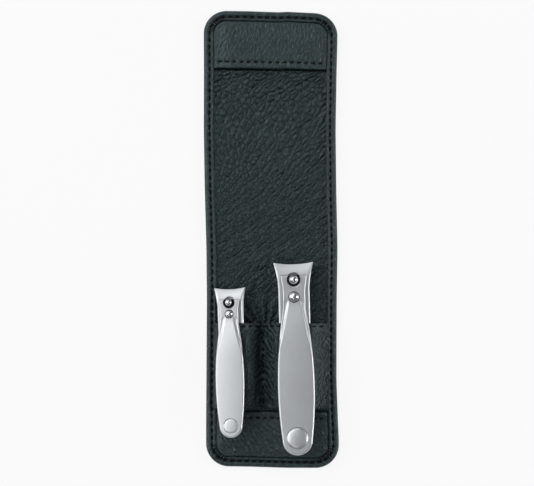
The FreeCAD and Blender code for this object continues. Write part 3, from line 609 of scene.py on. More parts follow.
def lining_shape(along):
    """Points and faces of the lining over places along the case, drawn in under the hem."""
    x, y = np.meshgrid(np.linspace(-LINING_X, LINING_X, LINING_COLUMNS), along)
    # The creases rise to the right, less steeply towards the flap; the grain is finer towards the spine.
    size = 0.68 + 0.46 * ramp((y - 8) / 60)
    run, over = (0.79 * x + 0.62 * y) / size, (1.25 * y + 0.002 * y ** 2 - x) / size
    depth, length, width = LINING_PEBBLES
    grain = depth * size * pebbled(run / length, over / width, 3)
    depth, length, width = LINING_FOLDS
    grain += depth * pebbled(run / length, over / width, 5)
    # Folding has left soft waves near the spine.
    waves = np.sin(0.65 * y - 0.25 * x + 0.8 * np.sin(0.11 * x)) * bell(y + 2, 18)
    edge = np.minimum(CASE_X - HEM - np.abs(x), CASE_Y - HEM - np.abs(y))
    # The seam between the pockets draws the lining up into a ridge above their mouth.
    across_seam = (x - SEAM_X) / 2.6
    ridge = (1.3 * bell(across_seam, 1) - 0.6 * bell(across_seam, 2)) * bell(y - MOUTH_Y - 3, 8)
    # Folds fan out from the upper end of that seam.
    bearing = np.arctan2(y - MOUTH_Y + 5, x - SEAM_X)
    far = np.hypot(x - SEAM_X, y - MOUTH_Y)
    fan = np.sin(17 * bearing + 0.6 * np.sin(0.5 * far)) * bell(far, 11) * ramp((y - MOUTH_Y + 1) / 3)
    groove = 0.8 * bell(y - CLOSURE_BAND_Y + GROOVE_GAP, GROOVE_WIDTH)
    top = LINING_Z - 0.5 + 0.45 * ridge + grain + 0.12 * waves + 0.4 * fan - groove
    top = np.maximum(top + 0.1 * fading(np.maximum(edge, 0), 0.5), LINING_Z - 0.74)
    under = np.full_like(x, LINING_Z - 0.78)
    return closed_sheet(*map(lie, over_grid(x, y, top, under)))


# A band keeps this gap to the hem; it is drawn on so many rows and columns.
HEM_GAP = 0.1
BAND_ROWS = 54
BAND_COLUMNS = 141


def band_shape(free_edge, low, rise, crown, leather, stitch_inset, pitch, wrinkles):
    """Upper and lower points of a band across one end: sewn down on three sides, its fourth edge free.

    It is drawn on the upper end. The rise is how far it stands up within the crown's width from its sewn
    sides. Wrinkles are their depth, and their lean in degrees, length, width and seed.
    """
    end = CASE_Y - HEM - HEM_GAP
    side = CASE_X - HEM - HEM_GAP
    corner = CASE_CORNER - HEM - HEM_GAP
    along = free_edge + (end - free_edge) * np.linspace(0, 1, BAND_ROWS) ** 1.08
    past = np.clip(along - (end - corner), 0, corner)
    half = side - corner + np.sqrt(corner ** 2 - past ** 2)
    share = np.linspace(-1, 1, BAND_COLUMNS)
    x = half[:, None] * share
    y = np.repeat(along[:, None], len(share), axis=1)
    over = np.maximum(y - (end - corner), 0)
    out = np.maximum(np.abs(x) - (side - corner), 0)
    straight = np.minimum(side - np.abs(x), end - y)
    edge = np.maximum(np.where((over > 0) & (out > 0), corner - np.hypot(over, out), straight), 0)
    top = low + rise * ramp(edge / crown) + 0.12 * ramp(edge / 0.8)
    from_free = np.clip((y - free_edge) / (0.5 * leather), 0, 1)
    turned_edge = 0.45 * leather * (1 - np.sqrt(1 - (1 - from_free) ** 2))
    furrow = 0.4 * bell(y - free_edge - stitch_inset, FURROW_WIDTH)
    furrow = furrow * (0.15 + 0.85 * stitch_pull(x / pitch + 0.5))
    hem_roll = 0.1 * bell(y - free_edge - 1.2, 0.7)
    rim = ramp(edge / 1.5)
    top += (hem_roll - furrow) * rim - turned_edge * rim
    bottom = np.maximum(LINING_Z + 0.02, top - leather)
    depth, *grain = wrinkles
    top += depth * (wrinkled(x, y, *grain) - WRINKLE_LEVEL) * rim * ramp((y - free_edge - 0.5) / 1.5)
    return over_grid(x, y, top, bottom)


def pocket_heights(x, y):
    """Outer height of the pocket leather, draped over the solid that holds its place."""
    tree = surface_of(NODES["pocket_front"])
    margin = 0.05
    inner_x = np.minimum(np.maximum(x, margin - POCKET_X), POCKET_X - margin)
    inner_y = np.minimum(y, MOUTH_Y - margin)
    raw = np.array([height_on(tree, a, b, LINING_Z) for a, b in zip(inner_x.ravel(), inner_y.ravel())])
    raw = raw.reshape(x.shape)
    spread = np.max([np.roll(raw, step, axis=1) for step in (-1, 0, 1)], axis=0)
    spread[:, :2], spread[:, -2:] = raw[:, :2], raw[:, -2:]
    return soften(soften(spread, 1, 3), 0, 4)


# Where the pocket leaves each clipper and how it falls from there; its sides lie this far above the hem.
POCKET_HANGS = ((17.2, 1.6), (-21.3, 1.3))
SIDE_GAP = 0.3


def hang_sides(top, x):
    """Lets the pocket hang from the clippers to the hem, which its sides overlap."""
    low = HEM_TOP + SIDE_GAP
    for start, power in POCKET_HANGS:
        share = np.clip((x - start) / (math.copysign(POCKET_EDGE, start) - start), 0, 1)
        held = np.array([np.interp(start, x[0], row) for row in top])[:, None]
        hung = low + (held - HEM_TOP - SIDE_GAP) * (1 - share) ** power
        top = np.where(share > 0, hung, top)
    return top


# Rows along the pocket's foot, its front and its turned mouth, and columns across it.
POCKET_ROWS = (12, 104, 7)
POCKET_COLUMNS = 145
# Slant and depth of the puckers beside the seam, and how far below the mouth its turned edge reaches.
PUCKER_SLANT = math.radians(52)
PUCKER_DEPTH = 0.42
MOUTH_TURN = 0.5
# The roll beside the seam: its height, its distance from the seam and its width.
ROLL = (0.7, 3.5, 1.1)
# Beyond this place across, the creases rise to the hem.
BY_HEM_X = 12
# The foot's gap to the pocket band, and the length over which it curves down.
FOOT_GAP = 0.35
FOOT_CURVE = 1.9


def pocket_shape(stitch_inset, leather, pitch):
    """Points and faces of the pocket front: hemmed mouth, sewn valley, creases that run from the seam."""
    foot, knee = POCKET_BAND_Y + FOOT_GAP, POCKET_BAND_Y + 2.5
    along = np.concatenate([
        np.linspace(foot, knee, POCKET_ROWS[0])[:-1],
        np.linspace(knee, MOUTH_Y - MOUTH_TURN, POCKET_ROWS[1]),
        MOUTH_Y - MOUTH_TURN * (1 - np.sin(np.linspace(0, math.pi / 2, POCKET_ROWS[2])[1:])),
    ])
    x, y = np.meshgrid(np.linspace(-POCKET_EDGE, POCKET_EDGE, POCKET_COLUMNS), along)
    top = hang_sides(pocket_heights(x, np.maximum(y, POCKET_BAND_Y + 0.9)), x)
    from_seam, down = x - SEAM_X, MOUTH_Y - y
    beside = np.abs(from_seam)
    slant = beside * math.sin(PUCKER_SLANT) + y * math.cos(PUCKER_SLANT)
    fan = fading(beside, 4.5) * ramp(beside / 1.2) * (0.45 + 0.55 * fading(down, 12))
    puckers = np.sin(slant * 3.6 + 0.9 * np.sin(y * 0.8) + 0.6 * np.sin(x * 1.1))
    top += PUCKER_DEPTH * fan * puckers
    # Pulled tight over the small clipper, the leather lies in a roll between it and the seam.
    high, beyond, wide = ROLL
    top += high * bell(from_seam + beyond, wide) * ramp((down - 6) / 12)
    # Creases run down from the seam to both sides; beyond the large clipper they rise to the hem.
    by_seam = wrinkled(beside, y, lean=120, length=5, width=1.2, seed=11)
    by_hem = wrinkled(x, y, lean=58, length=5, width=1.2, seed=13)
    depth = (0.36 + 0.3 * fading(beside, 6)) * ramp((down - 1) / 3)
    creases = np.where(x > BY_HEM_X, by_hem, by_seam) - WRINKLE_LEVEL
    top += depth * creases * ramp((POCKET_EDGE - np.abs(x)) / 1.5)
    furrow = 0.36 * bell(down - stitch_inset, 0.45)
    top += 0.16 * bell(down, 1.1) - furrow * (0.3 + 0.7 * stitch_pull(x / pitch + 0.5))
    turned_edge = np.clip(1 - down / MOUTH_TURN, 0, 1)
    top -= 0.4 * (1 - np.sqrt(1 - turned_edge ** 2))
    # At its foot it curves down to the lining, under the pocket band.
    closing = np.clip(1 - (y - POCKET_BAND_Y - FOOT_GAP) / FOOT_CURVE, 0, 1)
    top = LINING_Z + 0.25 + (top - LINING_Z - 0.25) * np.sqrt(1 - closing ** 2)
    top = np.maximum(top, LINING_Z + 0.12)
    floor = np.where(np.abs(x) > CASE_X - HEM - HEM_GAP, HEM_TOP, LINING_Z + 0.02)
    bottom = np.minimum(top - 0.1, np.maximum(floor, top - leather + 0.4 * turned_edge ** 2))
    return closed_sheet(*map(lie, over_grid(x, y, top, bottom)))


# A stitch has so many rings of so many points.
STITCH_RINGS = 11
STITCH_SIDES = 8


def stitch_row(middles, directions, look, surface, from_below=False):
    """Points and faces of a row of sewn stitches that arch over the leather and dip into it at both ends."""
    turns = np.linspace(0, 2 * math.pi, STITCH_SIDES + 1)[:-1]
    ring = np.stack([np.cos(turns), np.sin(turns)], -1)
    length, width, lean = look.stitch_length / MM, look.stitch_width / MM, look.stitch_lean
    sign = -1 if from_below else 1
    lean_x, lean_y = math.cos(lean), math.sin(lean)
    index = np.arange(STITCH_RINGS * STITCH_SIDES).reshape(STITCH_RINGS, STITCH_SIDES)
    points, faces = [], []
    for middle, (x, y) in zip(middles, directions):
        along = np.array([x * lean_x - y * lean_y, x * lean_y + y * lean_x])
        across = np.array([-along[1], along[0], 0.0])
        ends = [middle + along * length / 2 * side for side in (-1, 0, 1)]
        heights = [height_on(surface, *end, LINING_Z, from_below) for end in ends]
        first = len(points) * STITCH_SIDES
        for station in np.linspace(-1, 1, STITCH_RINGS):
            rest = np.interp(station, (-1, 0, 1), heights)
            arch = rest + sign * (0.2 - 0.48 * station ** 2) * width
            fat = width / 2 * math.sqrt(max(1 - abs(station) ** 5, 0.02))
            centre = np.array([*(middle + along * station * length / 2), arch])
            points.append(centre + fat * (ring[:, :1] * across + ring[:, 1:] * (0, 0, 0.8)))
        faces += (first + quads(index, wrapped=True)).tolist()
        faces += [(first + index[0, ::-1]).tolist(), (first + index[-1]).tolist()]
    return np.concatenate(points), faces


def straight_row(start, end, pitch):
    """Middles and directions of stitches along a straight row on the leather as it lies."""
    start, end = np.array(start, float), np.array(end, float)
    length = np.linalg.norm(end - start)
    count = max(round(length / pitch), 1)
    shares = (np.arange(count) + 0.5) / count
    laid = lie(start + (end - start) * shares[:, None])
    return laid, np.tile((end - start) / length, (count, 1))


def join_rows(rows):
    """One mesh from several rows of stitches."""
    points, faces, first = [], [], 0
    for row_points, row_faces in rows:
        points.append(row_points)
        faces += [[corner + first for corner in face] for face in row_faces]
        first += len(row_points)
    return np.concatenate(points), faces


# Sizes of the clippers in millimetres, the large one first, from the fulcrum and the lower leaf's underside.
CLIPPER_SIZES = {
    "leaf": (1.6, 1.4), "tail": (46.5, 39.5), "seat": (8.0, 7.0), "curl": (7.0, 5.2), "edge": (14.4, 10.9),
    "spread": (2.8, 2.2), "tip_gap": (1.2, 1.0), "tip": (0.4, 0.35), "body": (6.55, 5.2), "head": (8.2, 6.35),
    "neck": (2.0, 1.2), "head_side": (0.4, 0.3), "flare": (44.0, 39.0), "edge_dip": (0.8, 0.65),
    "rivet_inset": (4.0, 3.5), "rivet": (1.2, 1.0), "rivet_head": (1.9, 1.6), "rivet_dome": (0.25, 0.22),
    "pin_reach": (7.25, 4.8), "pin": (1.1, 0.85), "ball": (1.95, 1.45), "foot": (2.1, 1.7),
    "foot_high": (0.6, 0.5), "dish": (2.7, 2.15), "lift": (1.2, 1.5), "lever": (1.1, 1.0),
    "plateau": (0.5, 0.4), "plateau_inset": (0.9, 0.8), "plateau_start": (2.9, 2.05), "front": (9.1, 6.1),
    "front_half": (5.65, 4.5), "waist_front": (3.0, 2.2), "waist_back": (5.0, 4.0), "waist": (4.8, 3.9),
    "rise_start": (3.0, 2.4), "knee": (16.0, 12.0), "knee_rise": (2.3, 1.9), "wide_reach": (37.6, 28.0),
    "wide": (7.7, 6.05), "end": (65.8, 51.4), "end_radius": (6.3, 4.8), "end_rise": (2.7, 2.3),
    "dome": (2.15, 1.65), "dome_high": (1.4, 1.1), "shank": (1.2, 0.95), "disc_inset": (7.05, 4.9),
    "disc": (4.4, 2.85), "disc_recess": (0.3, 0.25), "disc_rim": (0.1, 0.08), "disc_dome": (0.85, 0.3),
    "eye_back": (0.65, 0.1), "bore": (2.85, 2.35), "hole": (3.0, 2.55),
}
CLIPPERS = ("large", "small")
# Play of the pin in its hole, and the least thickness that a leaf or lever keeps at its edge.
PIN_PLAY = 0.4
LEAST_THICK = 0.05
# Places along a lever's tail, arm and rounded front, and along a leaf's tail, body and head; columns across.
LEVER_PLACES = (26, 190, 8)
LEVER_COLUMNS = 67
LEAF_PLACES = (14, 60, 34)
LEAF_COLUMNS = 49


class Clipper:
    """Sizes of one clipper, the heights that follow from them, and where it lies."""

    def __init__(self, name):
        self.name = name
        for size_name, pair in CLIPPER_SIZES.items():
            setattr(self, size_name, pair[CLIPPERS.index(name)])
        self.bend = self.tail - self.seat
        self.slope = self.spread / (self.bend + self.curl)
        self.jaw_top = 2 * self.leaf + self.bend * self.slope
        self.lever_under = self.jaw_top + self.lift
        self.lever_top = self.lever_under + self.lever
        # The middles of the round ends of the lever and the leaves.
        self.lever_turn = -(self.end - self.end_radius)
        self.leaf_turn = -(self.tail - self.body)
        turn = self.leaf + (self.spread - self.tip_gap) / 2 - self.tip
        self.blade_radius = ((self.edge - self.curl) ** 2 + turn ** 2) / (2 * turn)
        press, slide = JOINTS[f"{name}_lever_press"], JOINTS[f"{name}_clipper_slide"]
        across, along = np.array(press["axis"]), -np.array(slide["axis"])
        self.axes = np.stack([across, along, np.cross(across, along)])
        self.base = np.array(press["pos_m"]) / MM - self.jaw_top * self.axes[2]

    def placed(self, points):
        """Points of the clipper, moved to where it lies in its pocket."""
        return self.base + np.asarray(points) @ self.axes

    def lever_rise(self, y):
        """How far the lever stands above its level front."""
        steep = self.knee_rise / (self.knee - self.rise_start)
        gentle = self.end_rise / (self.end - self.knee)
        bend = 0.55 * self.knee
        back = np.linspace(-self.front, self.end + 4, 900)
        places = (self.rise_start - 1, self.rise_start + 1, self.knee - bend, self.knee + bend, self.end)
        slope = np.interp(back, places, (0, steep, steep, 1.5 * gentle, 0.3 * gentle))
        rise = np.concatenate([[0], np.cumsum((slope[1:] + slope[:-1]) / 2 * np.diff(back))])
        return np.interp(-np.asarray(y), back, rise)


def arc_width(y, at, width, far, far_width):
    """Half width along an arc that is widest at one place and passes through another."""
    run, step = at - far, width - far_width
    radius = (run ** 2 + step ** 2) / (2 * step)
    return width - radius + np.sqrt(np.maximum(radius ** 2 - (y - at) ** 2, 0))


def round_end(turn, radius, steps):
    """Places along a round end behind its middle, close together where it narrows, from its tip forward."""
    return (turn - radius * np.sin(np.linspace(0, math.radians(88), steps)))[::-1]


def half_circle(y, turn, radius):
    """Half width of a round end."""
    return np.sqrt(np.maximum(radius ** 2 - (y - turn) ** 2, 0))


def spread_out(half, y, columns):
    """A grid over a shape's half widths, closer together towards its edges."""
    x = half[:, None] * np.sin(np.linspace(-math.pi / 2, math.pi / 2, columns))
    return x, np.repeat(y[:, None], columns, axis=1)


def lever_half(clipper, y, inset, waist):
    """Half width of the lever, drawn in by an inset, from its waist to its round tail."""
    wide, end = clipper.wide - inset, clipper.end_radius - inset
    arm = arc_width(y, -clipper.wide_reach, wide, -clipper.waist_back, waist)
    tail = arc_width(y, -clipper.wide_reach, wide, clipper.lever_turn, end)
    half = np.where(y < -clipper.waist_back, arm, waist)
    half = np.where(y < -clipper.wide_reach, tail, half)
    return np.where(y < clipper.lever_turn, half_circle(y, clipper.lever_turn, end), half)


def rolled(distance, radius):
    """How far a rounded edge lies below its face, at a distance from the edge."""
    inside = np.clip(1 - distance / radius, 0, 1)
    return radius * (1 - np.sqrt(1 - inside ** 2))


def lever_shape(clipper, rounding):
    """Points and faces of the lever: flat front, waist, swelling arm with a raised plateau, round tail."""
    turn, front, back = clipper.lever_turn, clipper.front, -clipper.waist_back
    # The front corners are rounded over this length.
    corner = 0.6
    y = np.concatenate([
        round_end(turn, clipper.end_radius, LEVER_PLACES[0]),
        np.linspace(turn, front - corner, LEVER_PLACES[1])[1:],
        front - corner * (1 - np.sin(np.linspace(0, math.pi / 2, LEVER_PLACES[2])[1:])),
    ])
    share = np.clip((y - clipper.waist_front) / (front - clipper.waist_front), 0, 1)
    flare = clipper.waist + (clipper.front_half - clipper.waist) * share
    half = np.where(y > back, flare, lever_half(clipper, y, 0, clipper.waist))
    half = half - rolled(front - y, corner)
    x, y = spread_out(half, y, LEVER_COLUMNS)
    from_turn = np.hypot(x, y - turn)
    edge = np.where(y < turn, clipper.end_radius - from_turn, half[:, None] - np.abs(x))
    edge = np.minimum(edge, front - y)
    start = clipper.plateau_start - 0.2 * (y - back)
    drawn_in = lever_half(clipper, y, clipper.plateau_inset, clipper.plateau_start)
    ridge = np.where(y > back, start, drawn_in) - np.abs(x)
    inside = np.where(y < turn, clipper.end_radius - clipper.plateau_inset - from_turn, ridge)
    grown = ramp((-0.5 - y) / 13)
    # Behind the knee the plateau runs out to the edges.
    merged = ramp((-y - 0.6 * clipper.knee) / (1.5 * clipper.knee))
    raised = clipper.plateau * ramp((inside + 1.8 * merged) / 0.9 + 0.6) * grown
    # Beside the plateau the arm is ground hollow by the fulcrum, which sets off two ridges.
    near_fulcrum = ramp((-0.8 - y) / 2) * ramp((y + 1.4 * clipper.knee) / (1.1 * clipper.knee))
    hollow = 0.65 * clipper.plateau * ramp((0.25 - inside) / 1.1) * near_fulcrum * ramp(edge / 0.9)
    crown = 0.2 * (x / clipper.wide) ** 2 * grown
    rise = clipper.lever_rise(y)
    top = clipper.lever_top + rise + raised - hollow - crown - rolled(edge, rounding)
    bottom = clipper.lever_under + rise + rolled(edge, 0.25)
    return closed_sheet(*over_grid(x, y, top, np.minimum(bottom, top - LEAST_THICK)))


def jaw_shape(clipper, upper):
    """Points and faces of a leaf: round tail, straight body, flared head with a hollow cutting edge."""
    turn = clipper.leaf_turn
    y = np.concatenate([
        round_end(turn, clipper.body, LEAF_PLACES[0]),
        np.linspace(turn, clipper.curl, LEAF_PLACES[1])[1:],
        np.linspace(clipper.curl, clipper.edge, LEAF_PLACES[2])[1:],
    ])
    near = np.array([clipper.body, clipper.neck])
    far = np.array([clipper.head, clipper.edge - clipper.head_side])
    chord = far - near
    reach = math.sqrt(clipper.flare ** 2 - chord @ chord / 4)
    middle = (near + far) / 2 + np.array([chord[1], -chord[0]]) / np.linalg.norm(chord) * reach
    flare = middle[0] - half_circle(y, middle[1], clipper.flare)
    half = np.where(y < turn, half_circle(y, turn, clipper.body), clipper.body)
    half = np.where(y > near[1], flare, half)
    half = np.where(y > far[1], clipper.head, half)
    x, y = spread_out(half, y, LEAF_COLUMNS)
    edge = np.where(y < turn, clipper.body - np.hypot(x, y - turn), half[:, None] - np.abs(x))
    past = np.maximum(y - clipper.curl, 0)
    curl = clipper.blade_radius - np.sqrt(clipper.blade_radius ** 2 - past ** 2)
    share = past / (clipper.edge - clipper.curl)
    if upper:
        seat = np.maximum(y + clipper.bend, 0)
        under = clipper.leaf + np.minimum(seat * clipper.slope, clipper.spread)
        top = under + clipper.leaf - curl
        bottom = under + ((clipper.tip_gap - clipper.spread) / 2) * share
    else:
        top = clipper.leaf + (clipper.spread - clipper.tip_gap) / 2 * share
        bottom = curl
    top = top - 0.55 * rolled(edge, 1.0) * (1 - 0.8 * share)
    bottom = bottom + rolled(edge, 0.3) * (1 - 0.8 * share)
    dip = clipper.edge_dip * (1 - (x / clipper.head) ** 2) * share
    return closed_sheet(*over_grid(x, y - dip, top, np.minimum(bottom, top - LEAST_THICK)))


def turned_shape(profile, along=0.0, segments=56):
    """Points and faces of a turned piece, put so far along the clipper.

    The profile gives radius and height, from its foot to its top.
    """
    profile = [(max(radius, 0), height) for radius, height in profile]
    angles = np.linspace(0, 2 * math.pi, segments + 1)[:-1]
    inner = profile[1:-1]
    points = [(0, 0, profile[0][1])]
    points += [(r * math.cos(a), r * math.sin(a), h) for r, h in inner for a in angles]
    points.append((0, 0, profile[-1][1]))
    faces = []
    for i in range(segments):
        ahead = (i + 1) % segments
        faces.append([0, 1 + ahead, 1 + i])
        for k in range(len(inner) - 1):
            a, b = 1 + k * segments + i, 1 + k * segments + ahead
            faces.append([a, b, b + segments, a + segments])
        last = 1 + (len(inner) - 1) * segments
        faces.append([last + i, last + ahead, len(points) - 1])
    return np.array(points) + (0, along, 0), faces


def cap_line(radius, height, base, steps=9):
    """Profile of a low dome, from its rim to its top."""
    ball = (radius ** 2 + height ** 2) / (2 * height)
    low = math.asin(min(radius / ball, 1.0))
    angles = np.linspace(low, 0, steps)
    return [(ball * math.sin(a), base + height - ball + ball * math.cos(a)) for a in angles]


def cut_away(piece, cutters):
    """Cuts shapes out of a piece; each leaves walls of its own finish."""
    spare = []
    for points, faces, finish in cutters:
        tool = make_piece("cutter", points, faces, finish)
        spare.append(tool)
        step = piece.modifiers.new("cut", "BOOLEAN")
        step.operation, step.solver, step.object = "DIFFERENCE", "EXACT", tool
        step.material_mode = "TRANSFER"
    cut = bpy.data.meshes.new_from_object(piece.evaluated_get(bpy.context.evaluated_depsgraph_get()))
    piece.modifiers.clear()
    piece.data = cut
    for tool in spare:
        bpy.data.objects.remove(tool)


def sharpen(piece, degrees=38):
    """Keeps the crisp edges of a ground piece."""
    piece.data.set_sharp_from_angle(angle=math.radians(degrees))
    return piece


def colour_setting(name, text, hex_code):
    """A colour that a user can change, given as sRGB."""
    return bpy.props.FloatVectorProperty(
        name=name, description=text, subtype="COLOR", size=3, min=0, max=1, default=linear(hex_code)
    )


def length_setting(name, text, millimetres):
    """A length that a user can change."""
    return bpy.props.FloatProperty(
        name=name, description=text, subtype="DISTANCE", unit="LENGTH", min=0, default=millimetres * MM
    )


def power_setting(name, text, watts):
    """The power of a lamp that a user can change."""
    return bpy.props.FloatProperty(name=name, description=text, unit="POWER", default=watts)


class CaseLook(bpy.types.PropertyGroup):
    """Leather and thread of the case."""

    # Painted shade: the creases' colour is also the colour that the leather's hollows are painted with.
    leather_creases_and_shade: colour_setting("Leather creases", "Colour of the leather in its creases", "#080D0E")
    leather_high: colour_setting("Leather grain", "Colour of the leather on its grain", "#2E4144")
    # Painted shade: the thread's colours are near black, partly the thread's own colour and partly the shade
    # of the furrows it lies in.
    thread_low_and_shade: colour_setting("Thread shade", "Colour between the plies of the thread", "#020303")
    thread_high_and_shade: colour_setting("Thread", "Colour on the plies of the thread", "#070A0A")
    stitch_length: length_setting("Stitch length", "Length of a stitch", 2.0)
    stitch_width: length_setting("Stitch width", "Width of the thread", 0.65)
    stitch_pitch: length_setting("Stitch pitch", "Distance from stitch to stitch", 3.0)
    stitch_lean: bpy.props.FloatProperty(
        name="Stitch lean", description="How far each stitch slants from its row", subtype="ANGLE",
        unit="ROTATION", default=math.radians(7),
    )
    edge_row: length_setting("Edge row", "Distance of the edge stitching from the edge", 2.4)
    band_row: length_setting("Band row", "Distance of a band's stitching from its free edge", 2.7)
    mouth_row: length_setting("Mouth row", "Distance of the pocket stitching from the mouth", 1.4)
    fold_reach: length_setting("Fold reach", "How far the leather bends on each side of a fold", 4.0)
    corner_pleats: bpy.props.IntProperty(
        name="Corner pleats", description="Pleats gathered round each corner", min=1, default=11
    )


class ClipperLook(bpy.types.PropertyGroup):
    """Steel of the two clippers."""

    satin_low: colour_setting("Satin steel marks", "Colour in the marks of the satin steel", "#D0D3D5")
    satin_high: colour_setting("Satin steel", "Colour of the satin steel", "#DDE0E3")
    bright_low: colour_setting("Polished steel marks", "Colour in the marks of the polished steel", "#DADBDC")
    bright_high: colour_setting("Polished steel", "Colour of the polished steel", "#E6E6E7")
    edge_rounding: length_setting("Edge rounding", "Radius of the lever's upper edges", 0.7)


class StageLook(bpy.types.PropertyGroup):
    """Floor, light and camera."""

    floor_low: colour_setting("Floor mottle", "Darker shade of the floor paint", "#ECECEC")
    floor_high: colour_setting("Floor", "Colour of the floor paint", "#F4F4F4")
    sky: colour_setting("Studio", "Colour of the light from all round", "#6A6B6C")
    key_power: power_setting("Key light", "Power of the soft light on the left", 11.5)
    fill_power: power_setting("Fill light", "Power of the soft light on the right", 4.6)
    head_power: power_setting("Head light", "Power of the soft light beyond the flap", 3.6)
    foot_power: power_setting("Foot light", "Power of the soft light on the pockets' side", 1.2)
    top_power: power_setting("Top light", "Power of the diffuser high above", 9)
    view_width: length_setting("View width", "Width of the picture at the case", 222.7)
    camera_height: length_setting("Camera height", "Height of the camera over the floor", 5000.0)


# Each leather's pebbles, the lean of its grain, its creases, their relief, its roughness and its shine.
LEATHERS = {
    "milled_leather_outer": ((1.4, 1.2), 35, (5, 1.4), (0.16, 0.12, 0.04), 0.4, 0.78),
    "milled_leather_lining": ((1.6, 1.1), 38, (5, 1.2), (0.12, 0.12, 0.05), 0.37, 0.58),
    "plated_leather_band": ((2.0, 1.0), 80, (6, 0.9), (0.1, 0.15, 0.05), 0.4, 0.75),
    "plated_leather_pocket": ((2.0, 0.9), 120, (6, 0.9), (0.15, 0.2, 0.05), 0.38, 0.7),
    "plated_leather_pocket_band": ((2.0, 1.2), 140, (5, 1.2), (0.15, 0.16, 0.05), 0.4, 0.8),
}


def leathers(look):
    """All materials, with the five leathers of the case, which are made once."""
    for name, recipe in LEATHERS.items():
        if name not in bpy.data.materials:
            milled_leather(name, (look.leather_creases_and_shade, look.leather_high), *recipe)
    return bpy.data.materials


class CASE_OT_cover(bpy.types.Operator):
    """Makes the outer cover, turned over the edge and sewn down as a hem"""

    bl_idname = "case.cover"
    bl_label = "Outer cover"

    def execute(self, context):
        look = context.scene.case_look
        material = leathers(look)["milled_leather_outer"]
        points, faces = cover_shape(look.stitch_pitch / MM, look.edge_row / MM, look.corner_pleats)
        below, above = cut_at_spine(points, faces)
        lower = make_piece("cover_lower", lie(below[0]), below[1], material, "outer_leather")
        upper = make_piece("cover_upper", lie(above[0]), above[1], material, "outer_leather")
        fold_over(lower, upper, look.fold_reach / MM)
        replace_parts(lower, "outer_cover_lower", "outer_cover_spine")
        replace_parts(upper, "outer_cover_upper")
        return {"FINISHED"}


class CASE_OT_lining(bpy.types.Operator):
    """Makes the pebbled lining and gives the boards and the magnet behind it their finish"""

    bl_idname = "case.lining"
    bl_label = "Lining and what lies behind it"

    def execute(self, context):
        look = context.scene.case_look
        material = leathers(look)["milled_leather_lining"]
        rows = np.linspace(-LINING_Y, 0, LINING_ROWS)
        lower = make_piece("lining_leather_lower", *lining_shape(rows), material, "lining_leather")
        # The groove below the closure band needs closer rows.
        rows = np.linspace(0, LINING_Y, LINING_ROWS)
        rows = rows[np.abs(rows - CLOSURE_BAND_Y + 0.5) > 1.15]
        rows = np.sort(np.append(rows, CLOSURE_BAND_Y + np.linspace(-1.5, 0.5, 17)))
        upper = make_piece("lining_leather_upper", *lining_shape(rows), material, "lining_leather")
        fold_over(sharpen(lower, 60), sharpen(upper, 60), look.fold_reach / MM)
        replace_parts(lower, "lining_lower", "lining_spine")
        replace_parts(upper, "lining_upper")
        board = matt_sheet("greyboard_pressed", (linear("#6E6B66"), linear("#8C8982")))
        ferrite = matt_sheet("ferrite_rubber_rolled", (linear("#1B1B1B"), linear("#2E2D2C")))
        for name in ("stiffener_lower", "stiffener_spine", "stiffener_upper", "closure_magnet"):
            mesh = NODES[name].data
            mesh.materials.clear()
            mesh.materials.append(ferrite if name == "closure_magnet" else board)
        return {"FINISHED"}


class CASE_OT_bands(bpy.types.Operator):
    """Makes the leather bands across the two ends"""

    bl_idname = "case.bands"
    bl_label = "End bands"

    def execute(self, context):
        look = context.scene.case_look
        sewn = {"stitch_inset": look.band_row / MM, "pitch": look.stitch_pitch / MM}
        surfaces = band_shape(
            CLOSURE_BAND_Y, low=3.3, rise=1.15, crown=7.0, leather=0.7,
            wrinkles=(0.2, 80, 3.4, 1.3, 7), **sewn,
        )
        closure = make_piece(
            "closure_band_leather", *closed_sheet(*map(lie, surfaces)),
            leathers(look)["plated_leather_band"], "smooth_leather",
        )
        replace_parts(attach(closure, "upper_half"), "closure_band")
        surfaces = band_shape(
            -POCKET_BAND_Y, low=3.0, rise=0.4, crown=3.0, leather=0.9,
            wrinkles=(0.3, 140, 5, 1.4, 7), **sewn,
        )
        # The same shape turned half round goes to the lower end.
        half_turn = np.array([-1, -1, 1])
        pocket = make_piece(
            "pocket_band_leather", *closed_sheet(*[lie(surface * half_turn) for surface in surfaces]),
            leathers(look)["plated_leather_pocket_band"], "smooth_leather",
        )
        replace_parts(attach(pocket, "lower_half"), "pocket_band")
        return {"FINISHED"}


class CASE_OT_pocket(bpy.types.Operator):
    """Makes the front of the two pockets, draped over the clippers"""

    bl_idname = "case.pocket"
    bl_label = "Pocket front"

    def execute(self, context):
        look = context.scene.case_look
        shape = pocket_shape(look.mouth_row / MM, leather=0.8, pitch=look.stitch_pitch / MM)
        material = leathers(look)["plated_leather_pocket"]
        pocket = make_piece("pocket_leather", *shape, material, "lining_leather")
        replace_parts(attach(pocket, "lower_half"), "pocket_front")
        return {"FINISHED"}


